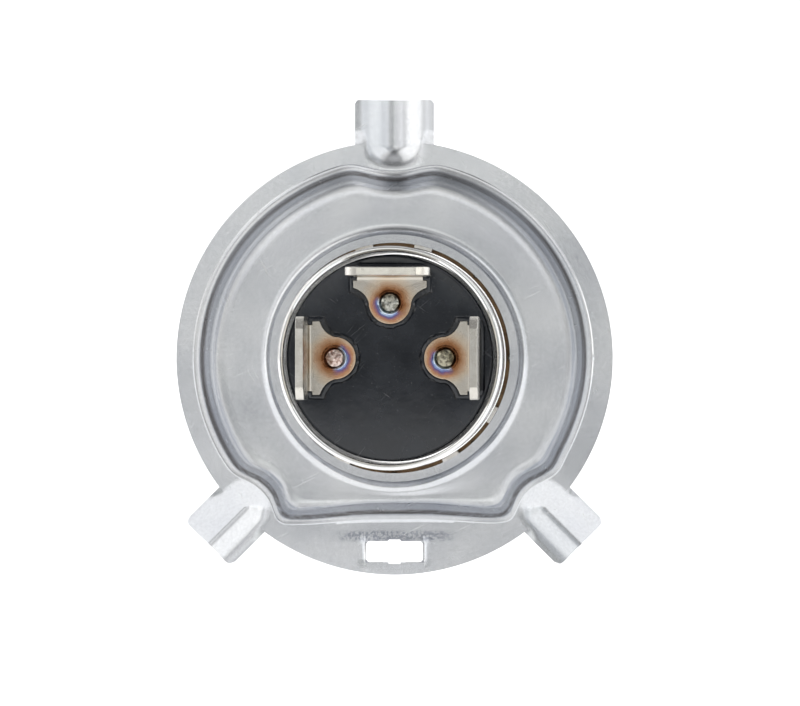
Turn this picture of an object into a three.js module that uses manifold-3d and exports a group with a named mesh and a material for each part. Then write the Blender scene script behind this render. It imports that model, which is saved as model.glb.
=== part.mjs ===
// Twin-filament halogen headlight bulb with a three-lug flange cap.
// Millimetres. The bulb axis is Y: the glass points to +Y, the terminals to -Y,
// and the wide lug points up, to +Z. The origin is on the axis, in the reference
// plane that the undersides of the three lugs lie in.
import * as THREE from 'three';
import { mergeVertices } from 'three/addons/utils/BufferGeometryUtils.js';
import Module from 'manifold-3d';

const wasm = await Module();
wasm.setup();

// ---- driving dimensions ----------------------------------------------------
const roundSides = 56;                 // facets round the axis
const flangeSides = 72;

const sheet = 0.8;                     // flange and terminal sheet thickness
const flangeRadius = 21.5;
const rimRearY = -1.9;                 // rear face of the flange's outer ring
const dishRearY = 0.5;                 // rear face of the sunk inner flat
const dishRadius = 18.6;               // middle of the step wall
const dishInnerRadius = 16.95;         // where the inner flat meets the step
const dishOuterRadius = 19.65;         // where the step meets the outer ring
const collarRadius = 11.43;            // bore of the collar
const collarLipY = -4.2;               // rear end of the collar
const collarFillet = 1.0;

// the step runs straight past each lug and along the bottom of the flange:
// clock angle in degrees from the top, and distance of the straight from the axis
const flats = [
  { clock: 0, distance: 17.5 },
  { clock: 135, distance: 18.0 },
  { clock: 225, distance: 18.0 },
  { clock: 180, distance: 15.3 },
];

const lugs = [
  { clock: 0, width: 7.8, end: 25.6, hollow: 1.5, corner: 0.3 },
  { clock: 135, width: 5.6, end: 26.1, hollow: 1.3, corner: 0.7 },
  { clock: 225, width: 5.6, end: 26.1, hollow: 1.3, corner: 0.7 },
];
const lugRoot = 19.4;
const troughStart = 20.0;              // the lug's root is closed up to here

const slotWidth = 5.5;                 // slot through the lower rim
const slotHeight = 2.04;
const slotDrop = 19.24;                // its middle below the axis
const notchWidth = 1.2;
const notchDepth = 0.2;

const shellRadius = 10.85;             // rear shell
const shellWall = 0.5;
const shellRearY = -17;
const shellFrontY = 4;
const rimRoll = 0.62;                  // width of the rolled rear edge

const ringGap = 0.1;                   // alignment ring on the shell
const ringWall = 0.28;
const ringRearY = -2.6;
const ringFrontY = 2.4;
const tabRearY = -4.5;
const tabClocks = [15, 120, 150, 207, 240, 345];
const tabSpan = 11;                    // degrees

const holderRadius = 10.2;             // front sleeve
const holderWall = 0.5;
const holderRearY = -3;
const holderFrontY = 14.4;
const holderMouth = 8.7;               // radius of its turned-in mouth

const clipRadius = 9.35;               // spring plate inside the sleeve
const clipY = 9.6;
const clipSheet = 0.5;
const tongueWidth = 10.4;
const tongueRearY = 3.2;
const fitGap = 0.3;                    // gap between pieces that touch

const insulatorRadius = 10.05;
const insulatorRearY = -16.3;
const insulatorFrontY = -11.5;
const leadHole = 0.95;
const pocketGap = 0.06;                // play between a terminal's foot and its pocket

const bladeWidth = 8.0;                // terminals
const bladeEndY = -28;
const bladeRadius = 8.3;               // blade middle plane from the axis
const bladeChamfer = 1.15;
const footRearY = -16.4;               // feet stand 0.1 proud of the insulator
const neckWidth = 6.4;
const earWidth = 7.1;
const beadRadius = 5.35;               // weld bead's place from the axis
const lobeRadius = 2.05;
const eyeletRadius = 1.25;
const eyeletHeight = 0.15;
const beadWidth = 1.6;
const leadRadius = 0.4;
const terminals = [
  { name: 'top', clock: 0, foilX: 0 },
  { name: 'right', clock: 90, foilX: 4.7 },
  { name: 'left', clock: 270, foilX: -4.7 },
];

const glassRadius = 8.1;               // envelope
const glassWall = 1.1;
const glassTopY = 56;
const domeHeight = 7.2;
const tubeStartY = 16.5;
const shoulderY = 12.5;
const pinchWidth = 14.6;
const pinchThickness = 4.2;
const pinchRearY = 1.6;
const nubRadius = 1.4;
const nubHeight = 1.6;
const foilWidth = 2.4;
const foilThickness = 0.2;
const foilRearY = 3.4;
const foilFrontY = 11.4;

const coatingWall = 0.2;
const coatingGap = 0.1;
const coatingRearY = 43.5;

const wireRadius = 0.35;               // inner leads
const coilRadius = 0.7;                // filament coil, to the middle of its wire
const coilWire = 0.11;
const highBeamY = [22.8, 27.3];
const lowBeamY = [30.4, 35.8];
const lowBeamZ = 0.5;
const coilTurns = 9;

const shieldMiddleY = 33.3;            // spoon-shaped shield under the low beam coil
const shieldHalfLength = 5.2;
const shieldHalfWidth = 3.5;
const shieldDepth = 3.4;
const shieldWall = 0.3;
const shieldSlant = 15;                // degrees

// ---- materials -------------------------------------------------------------
function finish(color, roughness, metalness) {
  return new THREE.MeshStandardMaterial({ color, roughness, metalness });
}
const looks = {
  flangeSteel: () => finish(0xc2c6ca, 0.38, 1),
  shellChrome: () => finish(0xdfe2e4, 0.15, 1),
  holderSteel: () => finish(0xb9bdc1, 0.3, 1),
  blackResin: () => finish(0x1a1b1f, 0.18, 0),
  terminalNickel: () => finish(0xa9a58f, 0.35, 1),
  weld: () => finish(0x8d8a82, 0.25, 1),
  wire: () => finish(0x9a9a9c, 0.35, 1),
  tungsten: () => finish(0x6b6c70, 0.4, 1),
  molybdenum: () => finish(0x8f9295, 0.45, 1),
  blackCoat: () => finish(0x131313, 0.5, 0),
  clearGlass: () => {
    const look = finish(0xf2f6f7, 0.03, 0);
    look.transparent = true;
    look.opacity = 0.25;
    return look;
  },
};

// ---- helpers ---------------------------------------------------------------
const degrees = THREE.MathUtils.degToRad;

// a closed mesh: shared corners merged, empty triangles dropped, faces outward
function closed(geometry) {
  const bare = new THREE.BufferGeometry();
  bare.setAttribute('position', geometry.getAttribute('position').clone());
  const all = [...Array(geometry.getAttribute('position').count).keys()];
  bare.setIndex(geometry.index ? [...geometry.index.array] : all);
  const merged = mergeVertices(bare, 1e-4);
  const kept = [];
  for (let i = 0; i < merged.index.count; i += 3) {
    const [a, b, c] = merged.index.array.slice(i, i + 3);
    if (a !== b && b !== c && c !== a) {
      kept.push(a, b, c);
    }
  }
  merged.setIndex(signedVolume(merged, kept) < 0 ? kept.reverse() : kept);
  return merged;
}

function signedVolume(geometry, index) {
  const at = (i) => new THREE.Vector3().fromBufferAttribute(geometry.getAttribute('position'), i);
  let volume = 0;
  for (let i = 0; i < index.length; i += 3) {
    volume += at(index[i]).dot(at(index[i + 1]).cross(at(index[i + 2])));
  }
  return volume / 6;
}

function solid(geometry) {
  const mesh = closed(geometry);
  return new wasm.Manifold(new wasm.Mesh({
    numProp: 3,
    vertProperties: new Float32Array(mesh.getAttribute('position').array),
    triVerts: new Uint32Array(mesh.index.array),
  }));
}

function fromSolid(body) {
  const mesh = body.getMesh();
  const geometry = new THREE.BufferGeometry();
  geometry.setAttribute('position', new THREE.BufferAttribute(new Float32Array(mesh.vertProperties), 3));
  geometry.setIndex([...mesh.triVerts]);
  return geometry;
}

function join(bodies) {
  return bodies.reduce((sum, body) => sum.add(body));
}

// a profile of [radius, y] points turned about the Y axis
function turned(points, sides = roundSides) {
  return new THREE.LatheGeometry(points.map(([x, y]) => new THREE.Vector2(x, y)), sides);
}

// a closed ring profile turned about the Y axis
function turnedRing(points, sides = roundSides) {
  return turned([...points, points[0]], sides);
}

// points along an arc, angles in degrees counted from +radius towards +y
function arc(x, y, radius, from, to, steps) {
  const points = [];
  for (let i = 0; i <= steps; i += 1) {
    const angle = degrees(from + (to - from) * i / steps);
    points.push([x + radius * Math.cos(angle), y + radius * Math.sin(angle)]);
  }
  return points;
}

// points along a quarter of an ellipse, from the tube's wall to the axis
function domeProfile(radius, topY, height, steps) {
  const points = [];
  for (let i = 0; i <= steps; i += 1) {
    const angle = degrees(90 * i / steps);
    points.push([radius * Math.cos(angle), topY - height + height * Math.sin(angle)]);
  }
  points[steps][0] = 0;
  return points;
}

// an outline in the X-Z plane, from y = rearY forward by depth
function plate(shape, rearY, depth, curveSegments = 10) {
  const geometry = new THREE.ExtrudeGeometry(shape, { depth, bevelEnabled: false, curveSegments });
  return geometry.rotateX(Math.PI / 2).translate(0, rearY + depth, 0);
}

function block(width, length, height, x, y, z) {
  return new THREE.BoxGeometry(width, length, height).translate(x, y, z);
}

function roundedBlock(width, height, corner) {
  const shape = new THREE.Shape();
  const x = width / 2;
  const y = height / 2;
  shape.moveTo(-x + corner, -y);
  shape.lineTo(x - corner, -y);
  shape.absarc(x - corner, -y + corner, corner, -Math.PI / 2, 0);
  shape.lineTo(x, y - corner);
  shape.absarc(x - corner, y - corner, corner, 0, Math.PI / 2);
  shape.lineTo(-x + corner, y);
  shape.absarc(-x + corner, y - corner, corner, Math.PI / 2, Math.PI);
  shape.lineTo(-x, -y + corner);
  shape.absarc(-x + corner, -y + corner, corner, Math.PI, Math.PI * 1.5);
  return shape;
}

// a round wire along a curve
function wireAlong(curve, radius, steps, sides = 8) {
  const section = new THREE.Shape();
  section.absarc(0, 0, radius, 0, Math.PI * 2);
  const options = { steps, bevelEnabled: false, extrudePath: curve, curveSegments: sides / 2 };
  return new THREE.ExtrudeGeometry(section, options);
}

function smoothPath(points) {
  return new THREE.CatmullRomCurve3(points.map((p) => new THREE.Vector3(...p)), false, 'centripetal');
}

const bulb = new THREE.Group();
function add(name, geometry, look, clock = 0) {
  const mesh = new THREE.Mesh(closed(geometry), look());
  mesh.name = name;
  mesh.rotation.y = degrees(clock);
  bulb.add(mesh);
}

// ---- flange ----------------------------------------------------------------
// distance of the step wall from the axis at a clock angle
function stepRadius(clock) {
  const reaches = flats.map(({ clock: middle, distance }) => {
    const across = Math.cos(clock - degrees(middle));
    return across > 0.2 ? distance / across : Infinity;
  });
  return Math.min(dishRadius, ...reaches);
}

// moves the turned step inwards where it runs straight
function shapeStep(geometry) {
  const position = geometry.getAttribute('position');
  const spot = new THREE.Vector3();
  for (let i = 0; i < position.count; i += 1) {
    spot.fromBufferAttribute(position, i);
    const radius = Math.hypot(spot.x, spot.z);
    const clock = Math.atan2(spot.x, spot.z);
    const inner = THREE.MathUtils.smoothstep(radius, collarRadius + sheet + collarFillet, dishInnerRadius - 0.1);
    const outer = 1 - THREE.MathUtils.smoothstep(radius, dishOuterRadius + 0.1, flangeRadius);
    const shift = (stepRadius(clock) - dishRadius) * Math.min(inner, outer);
    spot.multiply(new THREE.Vector3((radius + shift) / radius, 1, (radius + shift) / radius));
    position.setXYZ(i, spot.x, spot.y, spot.z);
  }
  return geometry;
}

function flangeProfile() {
  const slope = 60;                    // degrees of the step wall from the flat
  const concave = 1.4;                 // rear radius where the wall leaves the dish
  const convex = 1.0;                  // rear radius where it reaches the outer ring
  const neckX = collarRadius + sheet + collarFillet;
  const neckY = dishRearY - collarFillet;
  const rear = [
    ...arc(neckX, neckY, collarFillet, 180, 90, 2),
    ...arc(dishInnerRadius, dishRearY - concave, concave, 90, 90 - slope, 2),
    ...arc(dishOuterRadius, rimRearY + convex, convex, 270 - slope, 270, 2),
    [flangeRadius, rimRearY],
  ];
  const front = [
    [flangeRadius, rimRearY + sheet],
    ...arc(dishOuterRadius, rimRearY + convex, convex - sheet, 270, 270 - slope, 1),
    ...arc(dishInnerRadius, dishRearY - concave, concave + sheet, 90 - slope, 90, 2),
    ...arc(neckX, neckY, collarFillet + sheet, 90, 180, 3),
  ];
  const lip = [[collarRadius, collarLipY + 0.3], [collarRadius + 0.25, collarLipY],
    [collarRadius + sheet - 0.25, collarLipY], [collarRadius + sheet, collarLipY + 0.3]];
  return [...front, ...lip, ...rear].reverse();
}

// half-pipe lug, hollow side to the rear, its ridge in the reference plane:
// the lug itself, and the trough to be cut from the disc above it
function lugSolids({ clock, width, end, hollow, corner }) {
  const half = width / 2;
  const radius = (half * half + hollow * hollow) / (2 * hollow);
  const open = Math.asin(half / radius);
  const straight = (shape, from, to) => new THREE.ExtrudeGeometry(shape, {
    depth: to - from,
    bevelEnabled: false,
    curveSegments: 8,
  }).translate(0, 0, from);

  const band = new THREE.Shape();
  band.absarc(0, -radius, radius, Math.PI / 2 - open, Math.PI / 2 + open, false);
  band.absarc(0, -radius, radius - sheet, Math.PI / 2 + open, Math.PI / 2 - open, true);
  const plug = new THREE.Shape();
  plug.absarc(0, -radius, radius, Math.PI / 2 - open, Math.PI / 2 + open, false);
  const trough = new THREE.Shape();
  trough.absarc(0, -radius, radius - sheet, 0, Math.PI, false);

  const outline = roundedBlock(width + 0.02, 2 * (end - lugRoot), corner);
  const trim = solid(plate(outline, -4, 5, 3).translate(0, 0, lugRoot));
  const pipe = solid(straight(band, lugRoot, end)).intersect(trim);
  const root = solid(straight(plug, lugRoot, troughStart));
  return {
    lug: pipe.add(root).rotate([0, clock, 0]),
    trough: solid(straight(trough, troughStart, end)).rotate([0, clock, 0]),
  };
}

function flangeSlot() {
  const opening = plate(roundedBlock(slotWidth, slotHeight, 0.45), -4, 5, 3);
  const notch = plate(roundedBlock(notchWidth, slotHeight + 2 * notchDepth, 0.15), -4, 5, 2);
  return solid(opening).add(solid(notch)).translate([0, 0, -slotDrop]);
}

const lugParts = lugs.map(lugSolids);
const flangeDisc = solid(shapeStep(turnedRing(flangeProfile(), flangeSides)))
  .subtract(join(lugParts.map(({ trough }) => trough)))
  .subtract(flangeSlot());
add('flange', fromSolid(join([flangeDisc, ...lugParts.map(({ lug }) => lug)])), looks.flangeSteel);

// ---- alignment ring, welded between shell and collar --------------------------
function arcBand(inner, outer, clock, span) {
  const from = degrees(90 - clock - span / 2);
  const to = degrees(90 - clock + span / 2);
  const shape = new THREE.Shape();
  shape.absarc(0, 0, outer, from, to, false);
  shape.absarc(0, 0, inner, to, from, true);
  return shape;
}

const ringInner = shellRadius + ringGap;
const ringBand = solid(turnedRing([
  [ringInner, ringRearY],
  [ringInner + ringWall, ringRearY],
  [ringInner + ringWall, ringFrontY],
  [ringInner, ringFrontY],
]));
const ringTabs = tabClocks.map((clock) => {
  const shape = arcBand(ringInner + 0.03, ringInner + ringWall + 0.1, clock, tabSpan);
  return solid(plate(shape, tabRearY, ringRearY + 1 - tabRearY, 3));
});
add('alignment_ring', fromSolid(join([ringBand, ...ringTabs])), looks.holderSteel);

// ---- rear shell and front holder ----------------------------------------------
add('rear_shell', turnedRing([
  [shellRadius - shellWall, shellFrontY],
  [shellRadius - shellWall, shellRearY + rimRoll * 1.4],
  [shellRadius - rimRoll, shellRearY + rimRoll],
  ...arc(shellRadius - rimRoll / 2, shellRearY + rimRoll / 2, rimRoll / 2, 180, 360, 4),
  [shellRadius, shellFrontY],
]), looks.shellChrome);

add('holder_sleeve', turnedRing([
  [holderRadius - holderWall, holderRearY],
  [holderRadius, holderRearY],
  ...arc(holderRadius - 0.9, holderFrontY - 0.9, 0.9, 0, 90, 3),
  [holderMouth, holderFrontY],
  [holderMouth, holderFrontY - holderWall],
  ...arc(holderRadius - 0.9, holderFrontY - 0.9, 0.9 - holderWall, 90, 0, 2),
]), looks.holderSteel);

// ---- pinch clip: a plate with a window and two spring tongues ---------------------
const clipPlate = solid(turned([
  [0, clipY],
  [clipRadius, clipY],
  [clipRadius, clipY + clipSheet],
  [0, clipY + clipSheet],
], 32));
const windowWidth = pinchWidth + 2 * fitGap;
const windowHeight = pinchThickness + 2 * fitGap;
const clipWindow = solid(block(windowWidth, 4, windowHeight, 0, clipY, 0));
const tongues = [-1, 1].map((side) => solid(block(
  tongueWidth,
  clipY + clipSheet - tongueRearY,
  clipSheet,
  0,
  (clipY + clipSheet + tongueRearY) / 2,
  side * (windowHeight + clipSheet) / 2,
)));
add('pinch_clip', fromSolid(join([clipPlate.subtract(clipWindow), ...tongues])), looks.holderSteel);

// ---- insulator -----------------------------------------------------------------------
const insulatorBody = solid(turned([
  [0, insulatorRearY],
  [insulatorRadius - 0.4, insulatorRearY],
  [insulatorRadius, insulatorRearY + 0.4],
  [insulatorRadius, insulatorFrontY],
  [0, insulatorFrontY],
]));
const footFrontY = footRearY + sheet;
const pockets = terminals.map(({ clock }) => {
  const hole = turned([[0, -20], [leadHole, -20], [leadHole, -10], [0, -10]], 16)
    .translate(0, 0, beadRadius);
  const foot = plate(footOutline(pocketGap), -18, 18 + footFrontY + pocketGap, 6);
  const bendWidth = neckWidth + 2 * pocketGap;
  const bendFrontY = footFrontY + pocketGap;
  const bend = block(bendWidth, 4, 1.7, 0, bendFrontY - 2, bladeRadius - 0.3);
  return join([hole, foot, bend].map(solid)).rotate([0, clock, 0]);
});
add('insulator', fromSolid(insulatorBody.subtract(join(pockets))), looks.blackResin);

// ---- terminals ------------------------------------------------------------------------
// made for the top place, then turned round the axis to each clock angle
// outline of the foot in the X-Z plane, or of its pocket, larger by grow all round
function footOutline(grow = 0) {
  const shape = new THREE.Shape();
  const bend = bladeRadius - 0.5;      // end of the foot, inside the bend
  const earTop = bend - 0.3 + grow;
  const earEnd = bend - 1.0 - grow;
  const neck = neckWidth / 2 + grow;
  const ear = earWidth / 2 + grow;
  const lobe = lobeRadius + grow;
  shape.moveTo(-neck, bend);
  shape.lineTo(-neck, earTop);
  shape.lineTo(-ear, earTop);
  shape.lineTo(-ear, earEnd);
  shape.quadraticCurveTo(-lobe - 0.3, earEnd - 0.4, -lobe, beadRadius);
  shape.absarc(0, beadRadius, lobe, Math.PI, Math.PI * 2, false);
  shape.quadraticCurveTo(lobe + 0.3, earEnd - 0.4, ear, earEnd);
  shape.lineTo(ear, earTop);
  shape.lineTo(neck, earTop);
  shape.lineTo(neck, bend);
  return shape;
}

function bladeOutline() {
  const shape = new THREE.Shape();
  const half = bladeWidth / 2;
  const rootY = footRearY - 1.0;
  shape.moveTo(-half, rootY);
  shape.lineTo(-half, bladeEndY + bladeChamfer * 1.6);
  shape.lineTo(-half + bladeChamfer, bladeEndY);
  shape.lineTo(half - bladeChamfer, bladeEndY);
  shape.lineTo(half, bladeEndY + bladeChamfer * 1.6);
  shape.lineTo(half, rootY);
  shape.lineTo(neckWidth / 2, rootY + 0.6);
  shape.lineTo(-neckWidth / 2, rootY + 0.6);
  return shape;
}

// the bend that joins foot and blade, as an L section across the neck
function bendSection() {
  const outer = sheet + 0.35;
  const shape = new THREE.Shape();
  const rim = bladeRadius + sheet / 2;
  shape.moveTo(rim - 1.6, -footFrontY);
  shape.lineTo(rim - outer, -footFrontY);
  shape.absarc(rim - outer, -footFrontY + outer, outer, -Math.PI / 2, 0, false);
  shape.lineTo(rim, -footRearY + 0.9);
  shape.lineTo(rim - sheet, -footRearY + 0.9);
  shape.lineTo(rim - sheet, -footFrontY + outer);
  shape.absarc(rim - outer, -footFrontY + outer, outer - sheet, 0, -Math.PI / 2, true);
  shape.lineTo(rim - 1.6, -footRearY);
  return shape;
}

function terminalSolid() {
  const foot = solid(plate(footOutline(), footRearY, sheet, 6));
  const blade = solid(new THREE.ExtrudeGeometry(bladeOutline(), { depth: sheet, bevelEnabled: false })
    .translate(0, 0, bladeRadius - sheet / 2));
  const section = { depth: neckWidth, bevelEnabled: false, curveSegments: 4 };
  const bend = new THREE.ExtrudeGeometry(bendSection(), section);
  bend.applyMatrix4(new THREE.Matrix4().set(
    0, 0, 1, -neckWidth / 2,
    0, -1, 0, 0,
    1, 0, 0, 0,
    0, 0, 0, 1,
  ));
  const eyelet = solid(turned([
    [0, footRearY - eyeletHeight],
    [eyeletRadius - 0.1, footRearY - eyeletHeight],
    [eyeletRadius, footRearY + 0.1],
    [0, footRearY + 0.1],
  ], 16).translate(0, 0, beadRadius));
  const hole = solid(turned([[0, -18], [leadHole, -18], [leadHole, -14], [0, -14]], 16)
    .translate(0, 0, beadRadius));
  return join([foot, solid(bend), blade, eyelet]).subtract(hole);
}

const terminalGeometry = fromSolid(terminalSolid());
const beadRearY = footRearY - 0.4;
const beadFrontY = footRearY + 0.3;
const beadGeometry = turned([
  ...domeProfile(beadWidth / 2, -beadRearY, 0.45, 3).reverse().map(([x, y]) => [x, -y]),
  [beadWidth / 2, beadFrontY],
  [0, beadFrontY],
], 16).translate(0, 0, beadRadius);

for (const { name, clock, foilX } of terminals) {
  const turn = degrees(clock);
  const eye = [beadRadius * Math.sin(turn), beadRadius * Math.cos(turn)];
  add(`terminal_${name}`, terminalGeometry.clone(), looks.terminalNickel, clock);
  add(`weld_bead_${name}`, beadGeometry.clone(), looks.weld, clock);
  const lead = smoothPath([
    [eye[0], beadFrontY + 0.1, eye[1]],
    [eye[0], insulatorFrontY + 1, eye[1]],
    [eye[0] * 0.75 + foilX * 0.25, -6, eye[1] * 0.7],
    [foilX, -1.5, eye[1] * 0.1],
    [foilX, foilRearY - fitGap, 0],
  ]);
  add(`lead_${name}`, wireAlong(lead, leadRadius, 18), looks.wire);
  add(`foil_${name}`, block(foilWidth, foilFrontY - foilRearY, foilThickness,
    foilX, (foilFrontY + foilRearY) / 2, 0), looks.molybdenum);
}

// ---- glass envelope: tube, dome and pinch, open at the lead passages ---------------------
const tubeOuter = solid(turned([
  [0, shoulderY],
  [glassRadius * 0.72, shoulderY + 0.5],
  [glassRadius * 0.93, shoulderY + 2],
  [glassRadius, tubeStartY],
  ...domeProfile(glassRadius, glassTopY, domeHeight, 6),
]));
const nub = solid(turned([
  [0, glassTopY - 1],
  [nubRadius, glassTopY - 1],
  [nubRadius * 0.8, glassTopY + nubHeight * 0.5],
  [nubRadius * 0.35, glassTopY + nubHeight * 0.92],
  [0, glassTopY + nubHeight],
], 16));
const boreRadius = glassRadius - glassWall;
const tubeInner = solid(turned([
  [0, tubeStartY - 1.6],
  [boreRadius * 0.7, tubeStartY - 1.3],
  [boreRadius, tubeStartY + 1],
  ...domeProfile(boreRadius, glassTopY - glassWall, domeHeight - 0.6, 5),
]));
const pinch = solid(plate(roundedBlock(pinchWidth, pinchThickness, 0.9),
  pinchRearY, tubeStartY - pinchRearY, 3));
const passageWidth = foilWidth + 2 * fitGap;
const passageHeight = 2 * (leadRadius + fitGap);
const passages = terminals.map(({ foilX }) => solid(block(
  passageWidth, tubeStartY + 1, passageHeight, foilX, (tubeStartY + 1) / 2, 0)));
const glass = join([tubeOuter, nub, pinch]).subtract(tubeInner).subtract(join(passages));
add('glass_envelope', fromSolid(glass), looks.clearGlass);

// ---- black coating on the tip ---------------------------------------------------------------
const coatInner = glassRadius + coatingGap;
const coatOuter = coatInner + coatingWall;
const coatTopY = glassTopY + coatingGap;
const coating = solid(turned([
  [0, coatingRearY],
  [coatOuter, coatingRearY],
  ...domeProfile(coatOuter, coatTopY + coatingWall, domeHeight + coatingWall, 6),
])).subtract(solid(turned([
  [0, coatingRearY - 1],
  [coatInner, coatingRearY - 1],
  ...domeProfile(coatInner, coatTopY, domeHeight, 6),
])));
const nubHole = solid(turned([
  [0, glassTopY - 2],
  [nubRadius + fitGap, glassTopY - 2],
  [nubRadius + fitGap, glassTopY + 3],
  [0, glassTopY + 3],
], 16));
add('tip_coating', fromSolid(coating.subtract(nubHole)), looks.blackCoat);

// ---- shield -----------------------------------------------------------------------------------
function halfBoat(grow) {
  const ball = new THREE.SphereGeometry(1, 20, 12);
  ball.scale(shieldHalfWidth + grow, shieldHalfLength + grow, shieldDepth + grow);
  return solid(ball.translate(0, shieldMiddleY, 0));
}
const slantCut = solid(block(20, 20, 10, 10, shieldMiddleY, 5))
  .rotate([0, shieldSlant, 0]);
const levelCut = solid(block(20, 20, 10, 0, shieldMiddleY, 5));
const boat = halfBoat(0).subtract(halfBoat(-shieldWall)).subtract(slantCut).subtract(levelCut);
add('low_beam_shield', fromSolid(boat), looks.molybdenum);

// ---- filaments ------------------------------------------------------------------------------------
// a coil along Y with a straight leg at each end
class CoilCurve extends THREE.Curve {
  constructor(fromY, toY, z, legs) {
    super();
    Object.assign(this, { fromY, toY, z, legs });
  }

  getPoint(t, target = new THREE.Vector3()) {
    const legShare = 0.04;
    const along = THREE.MathUtils.clamp((t - legShare) / (1 - 2 * legShare), 0, 1);
    const angle = along * coilTurns * Math.PI * 2;
    target.set(
      coilRadius * Math.cos(angle),
      this.fromY + (this.toY - this.fromY) * along,
      this.z + coilRadius * Math.sin(angle),
    );
    const rear = Math.max(0, legShare - t) / legShare;
    const front = Math.max(0, t - 1 + legShare) / legShare;
    target.addScaledVector(this.legs[0], rear);
    return target.addScaledVector(this.legs[1], front);
  }
}

function filament(name, [fromY, toY], z, legs) {
  const legVectors = legs.map((leg) => new THREE.Vector3(...leg));
  const curve = new CoilCurve(fromY, toY, z, legVectors);
  add(name, wireAlong(curve, coilWire, 100, 6), looks.tungsten);
}
filament('high_beam_filament', highBeamY, 0, [[-2.7, -0.3, 0], [-0.5, 0, -3.4]]);
filament('low_beam_filament', lowBeamY, lowBeamZ, [[0.2, -0.9, 0.6], [2.0, 1.6, 0]]);

// ---- inner leads --------------------------------------------------------------------------------------
const innerLeadStart = foilFrontY + fitGap;
add('support_left', wireAlong(smoothPath([
  [-4.7, innerLeadStart, 0],
  [-4.7, 17, 0],
  [-4.3, 20, 0],
  [-2.9, highBeamY[0] - 0.6, 0],
]), wireRadius, 14), looks.wire);
add('support_right', wireAlong(smoothPath([
  [4.7, innerLeadStart, 0],
  [4.7, 18, 0.3],
  [4.9, 30, 0.6],
  [4.6, 36, 0.6],
  [3.4, lowBeamY[1] + 2.2, 0.5],
]), wireRadius, 20), looks.wire);
add('support_centre', wireAlong(smoothPath([
  [0, innerLeadStart, 0],
  [0, 15, -0.4],
  [0, 19, -3.2],
  [0, 27, -4.1],
  [0, shieldMiddleY + 1, -4.1],
]), wireRadius, 20), looks.wire);

export default bulb;
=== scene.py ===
import math
import bmesh
import bpy
from mathutils import Matrix, Vector, noise


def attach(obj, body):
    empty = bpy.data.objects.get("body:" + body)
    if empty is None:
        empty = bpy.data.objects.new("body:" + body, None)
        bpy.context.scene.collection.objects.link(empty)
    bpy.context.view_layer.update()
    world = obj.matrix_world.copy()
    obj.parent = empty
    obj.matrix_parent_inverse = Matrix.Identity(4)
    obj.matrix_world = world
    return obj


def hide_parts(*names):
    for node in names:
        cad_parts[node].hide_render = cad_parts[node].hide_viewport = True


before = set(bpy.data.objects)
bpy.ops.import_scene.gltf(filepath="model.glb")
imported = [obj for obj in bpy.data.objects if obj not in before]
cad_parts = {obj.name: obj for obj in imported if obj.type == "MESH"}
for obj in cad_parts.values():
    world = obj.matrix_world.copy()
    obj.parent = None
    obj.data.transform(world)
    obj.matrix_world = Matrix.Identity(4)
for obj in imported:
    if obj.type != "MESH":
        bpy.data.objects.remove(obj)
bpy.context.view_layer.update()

mm = 0.001
print("frame loaded:", len(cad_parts), "nodes")


# ---------- small tools for shapes, all in millimetres until the mesh is made

def arcPoints(x, y, radius, fromAngle, toAngle, steps):
    points = []
    for i in range(steps + 1):
        angle = math.radians(fromAngle + (toAngle - fromAngle) * i / steps)
        points.append((x + radius * math.cos(angle), y + radius * math.sin(angle)))
    return points


def smoothStep(value, low, high):
    t = min(max((value - low) / (high - low), 0.0), 1.0)
    return t * t * (3 - 2 * t)


def mix(a, b, t):
    return a + (b - a) * t


def clockTurn(clock):
    return Matrix.Rotation(math.radians(clock), 4, "Y")


def addLine(bm, points):
    verts = [bm.verts.new(point) for point in points]
    for a, b in zip(verts, verts[1:]):
        bm.edges.new((a, b))
    return verts


def linkedEdges(verts):
    return list({edge for vert in verts for edge in vert.link_edges})


def onlyVerts(items):
    return [item for item in items if isinstance(item, bmesh.types.BMVert)]


def fillFlat(bm, edges):
    bmesh.ops.triangle_fill(bm, use_beauty=True, use_dissolve=False, edges=edges)


def cutPlane(bm, at, normal, **settings):
    geometry = list(bm.verts) + list(bm.edges) + list(bm.faces)
    bmesh.ops.bisect_plane(bm, geom=geometry, dist=1e-5, plane_co=at, plane_no=normal, **settings)


def addFace(bm, points):
    return bm.faces.new([bm.verts.new(point) for point in points])


# a profile of (radius, y) points spun once round the bulb axis
def spinProfile(bm, profile, steps, isClosed=False, at=(0, 0)):
    verts = addLine(bm, [(radius, y, 0) for radius, y in profile])
    edges = linkedEdges(verts)
    if isClosed:
        edges.append(bm.edges.new((verts[-1], verts[0])))
    bmesh.ops.spin(bm, geom=verts + edges, cent=(0, 0, 0), axis=(0, 1, 0),
                   angle=math.tau, steps=steps, use_merge=True)
    if at != (0, 0):
        spun = collectIsland(next(vert for vert in verts if vert.is_valid))
        bmesh.ops.translate(bm, verts=spun, vec=(at[0], 0, at[1]))


# all vertices that hang together with one
def collectIsland(start):
    found = {start}
    waiting = [start]
    while waiting:
        vert = waiting.pop()
        for edge in vert.link_edges:
            other = edge.other_vert(vert)
            if other not in found:
                found.add(other)
                waiting.append(other)
    return list(found)


# a plate between y = rear and y = rear + thick, from an outline in x and z
def addPlate(bm, outline, rear, thick):
    face = addFace(bm, [(x, rear, z) for x, z in outline])
    made = bmesh.ops.extrude_face_region(bm, geom=[face])["geom"]
    bmesh.ops.translate(bm, verts=onlyVerts(made), vec=(0, thick, 0))


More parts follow.
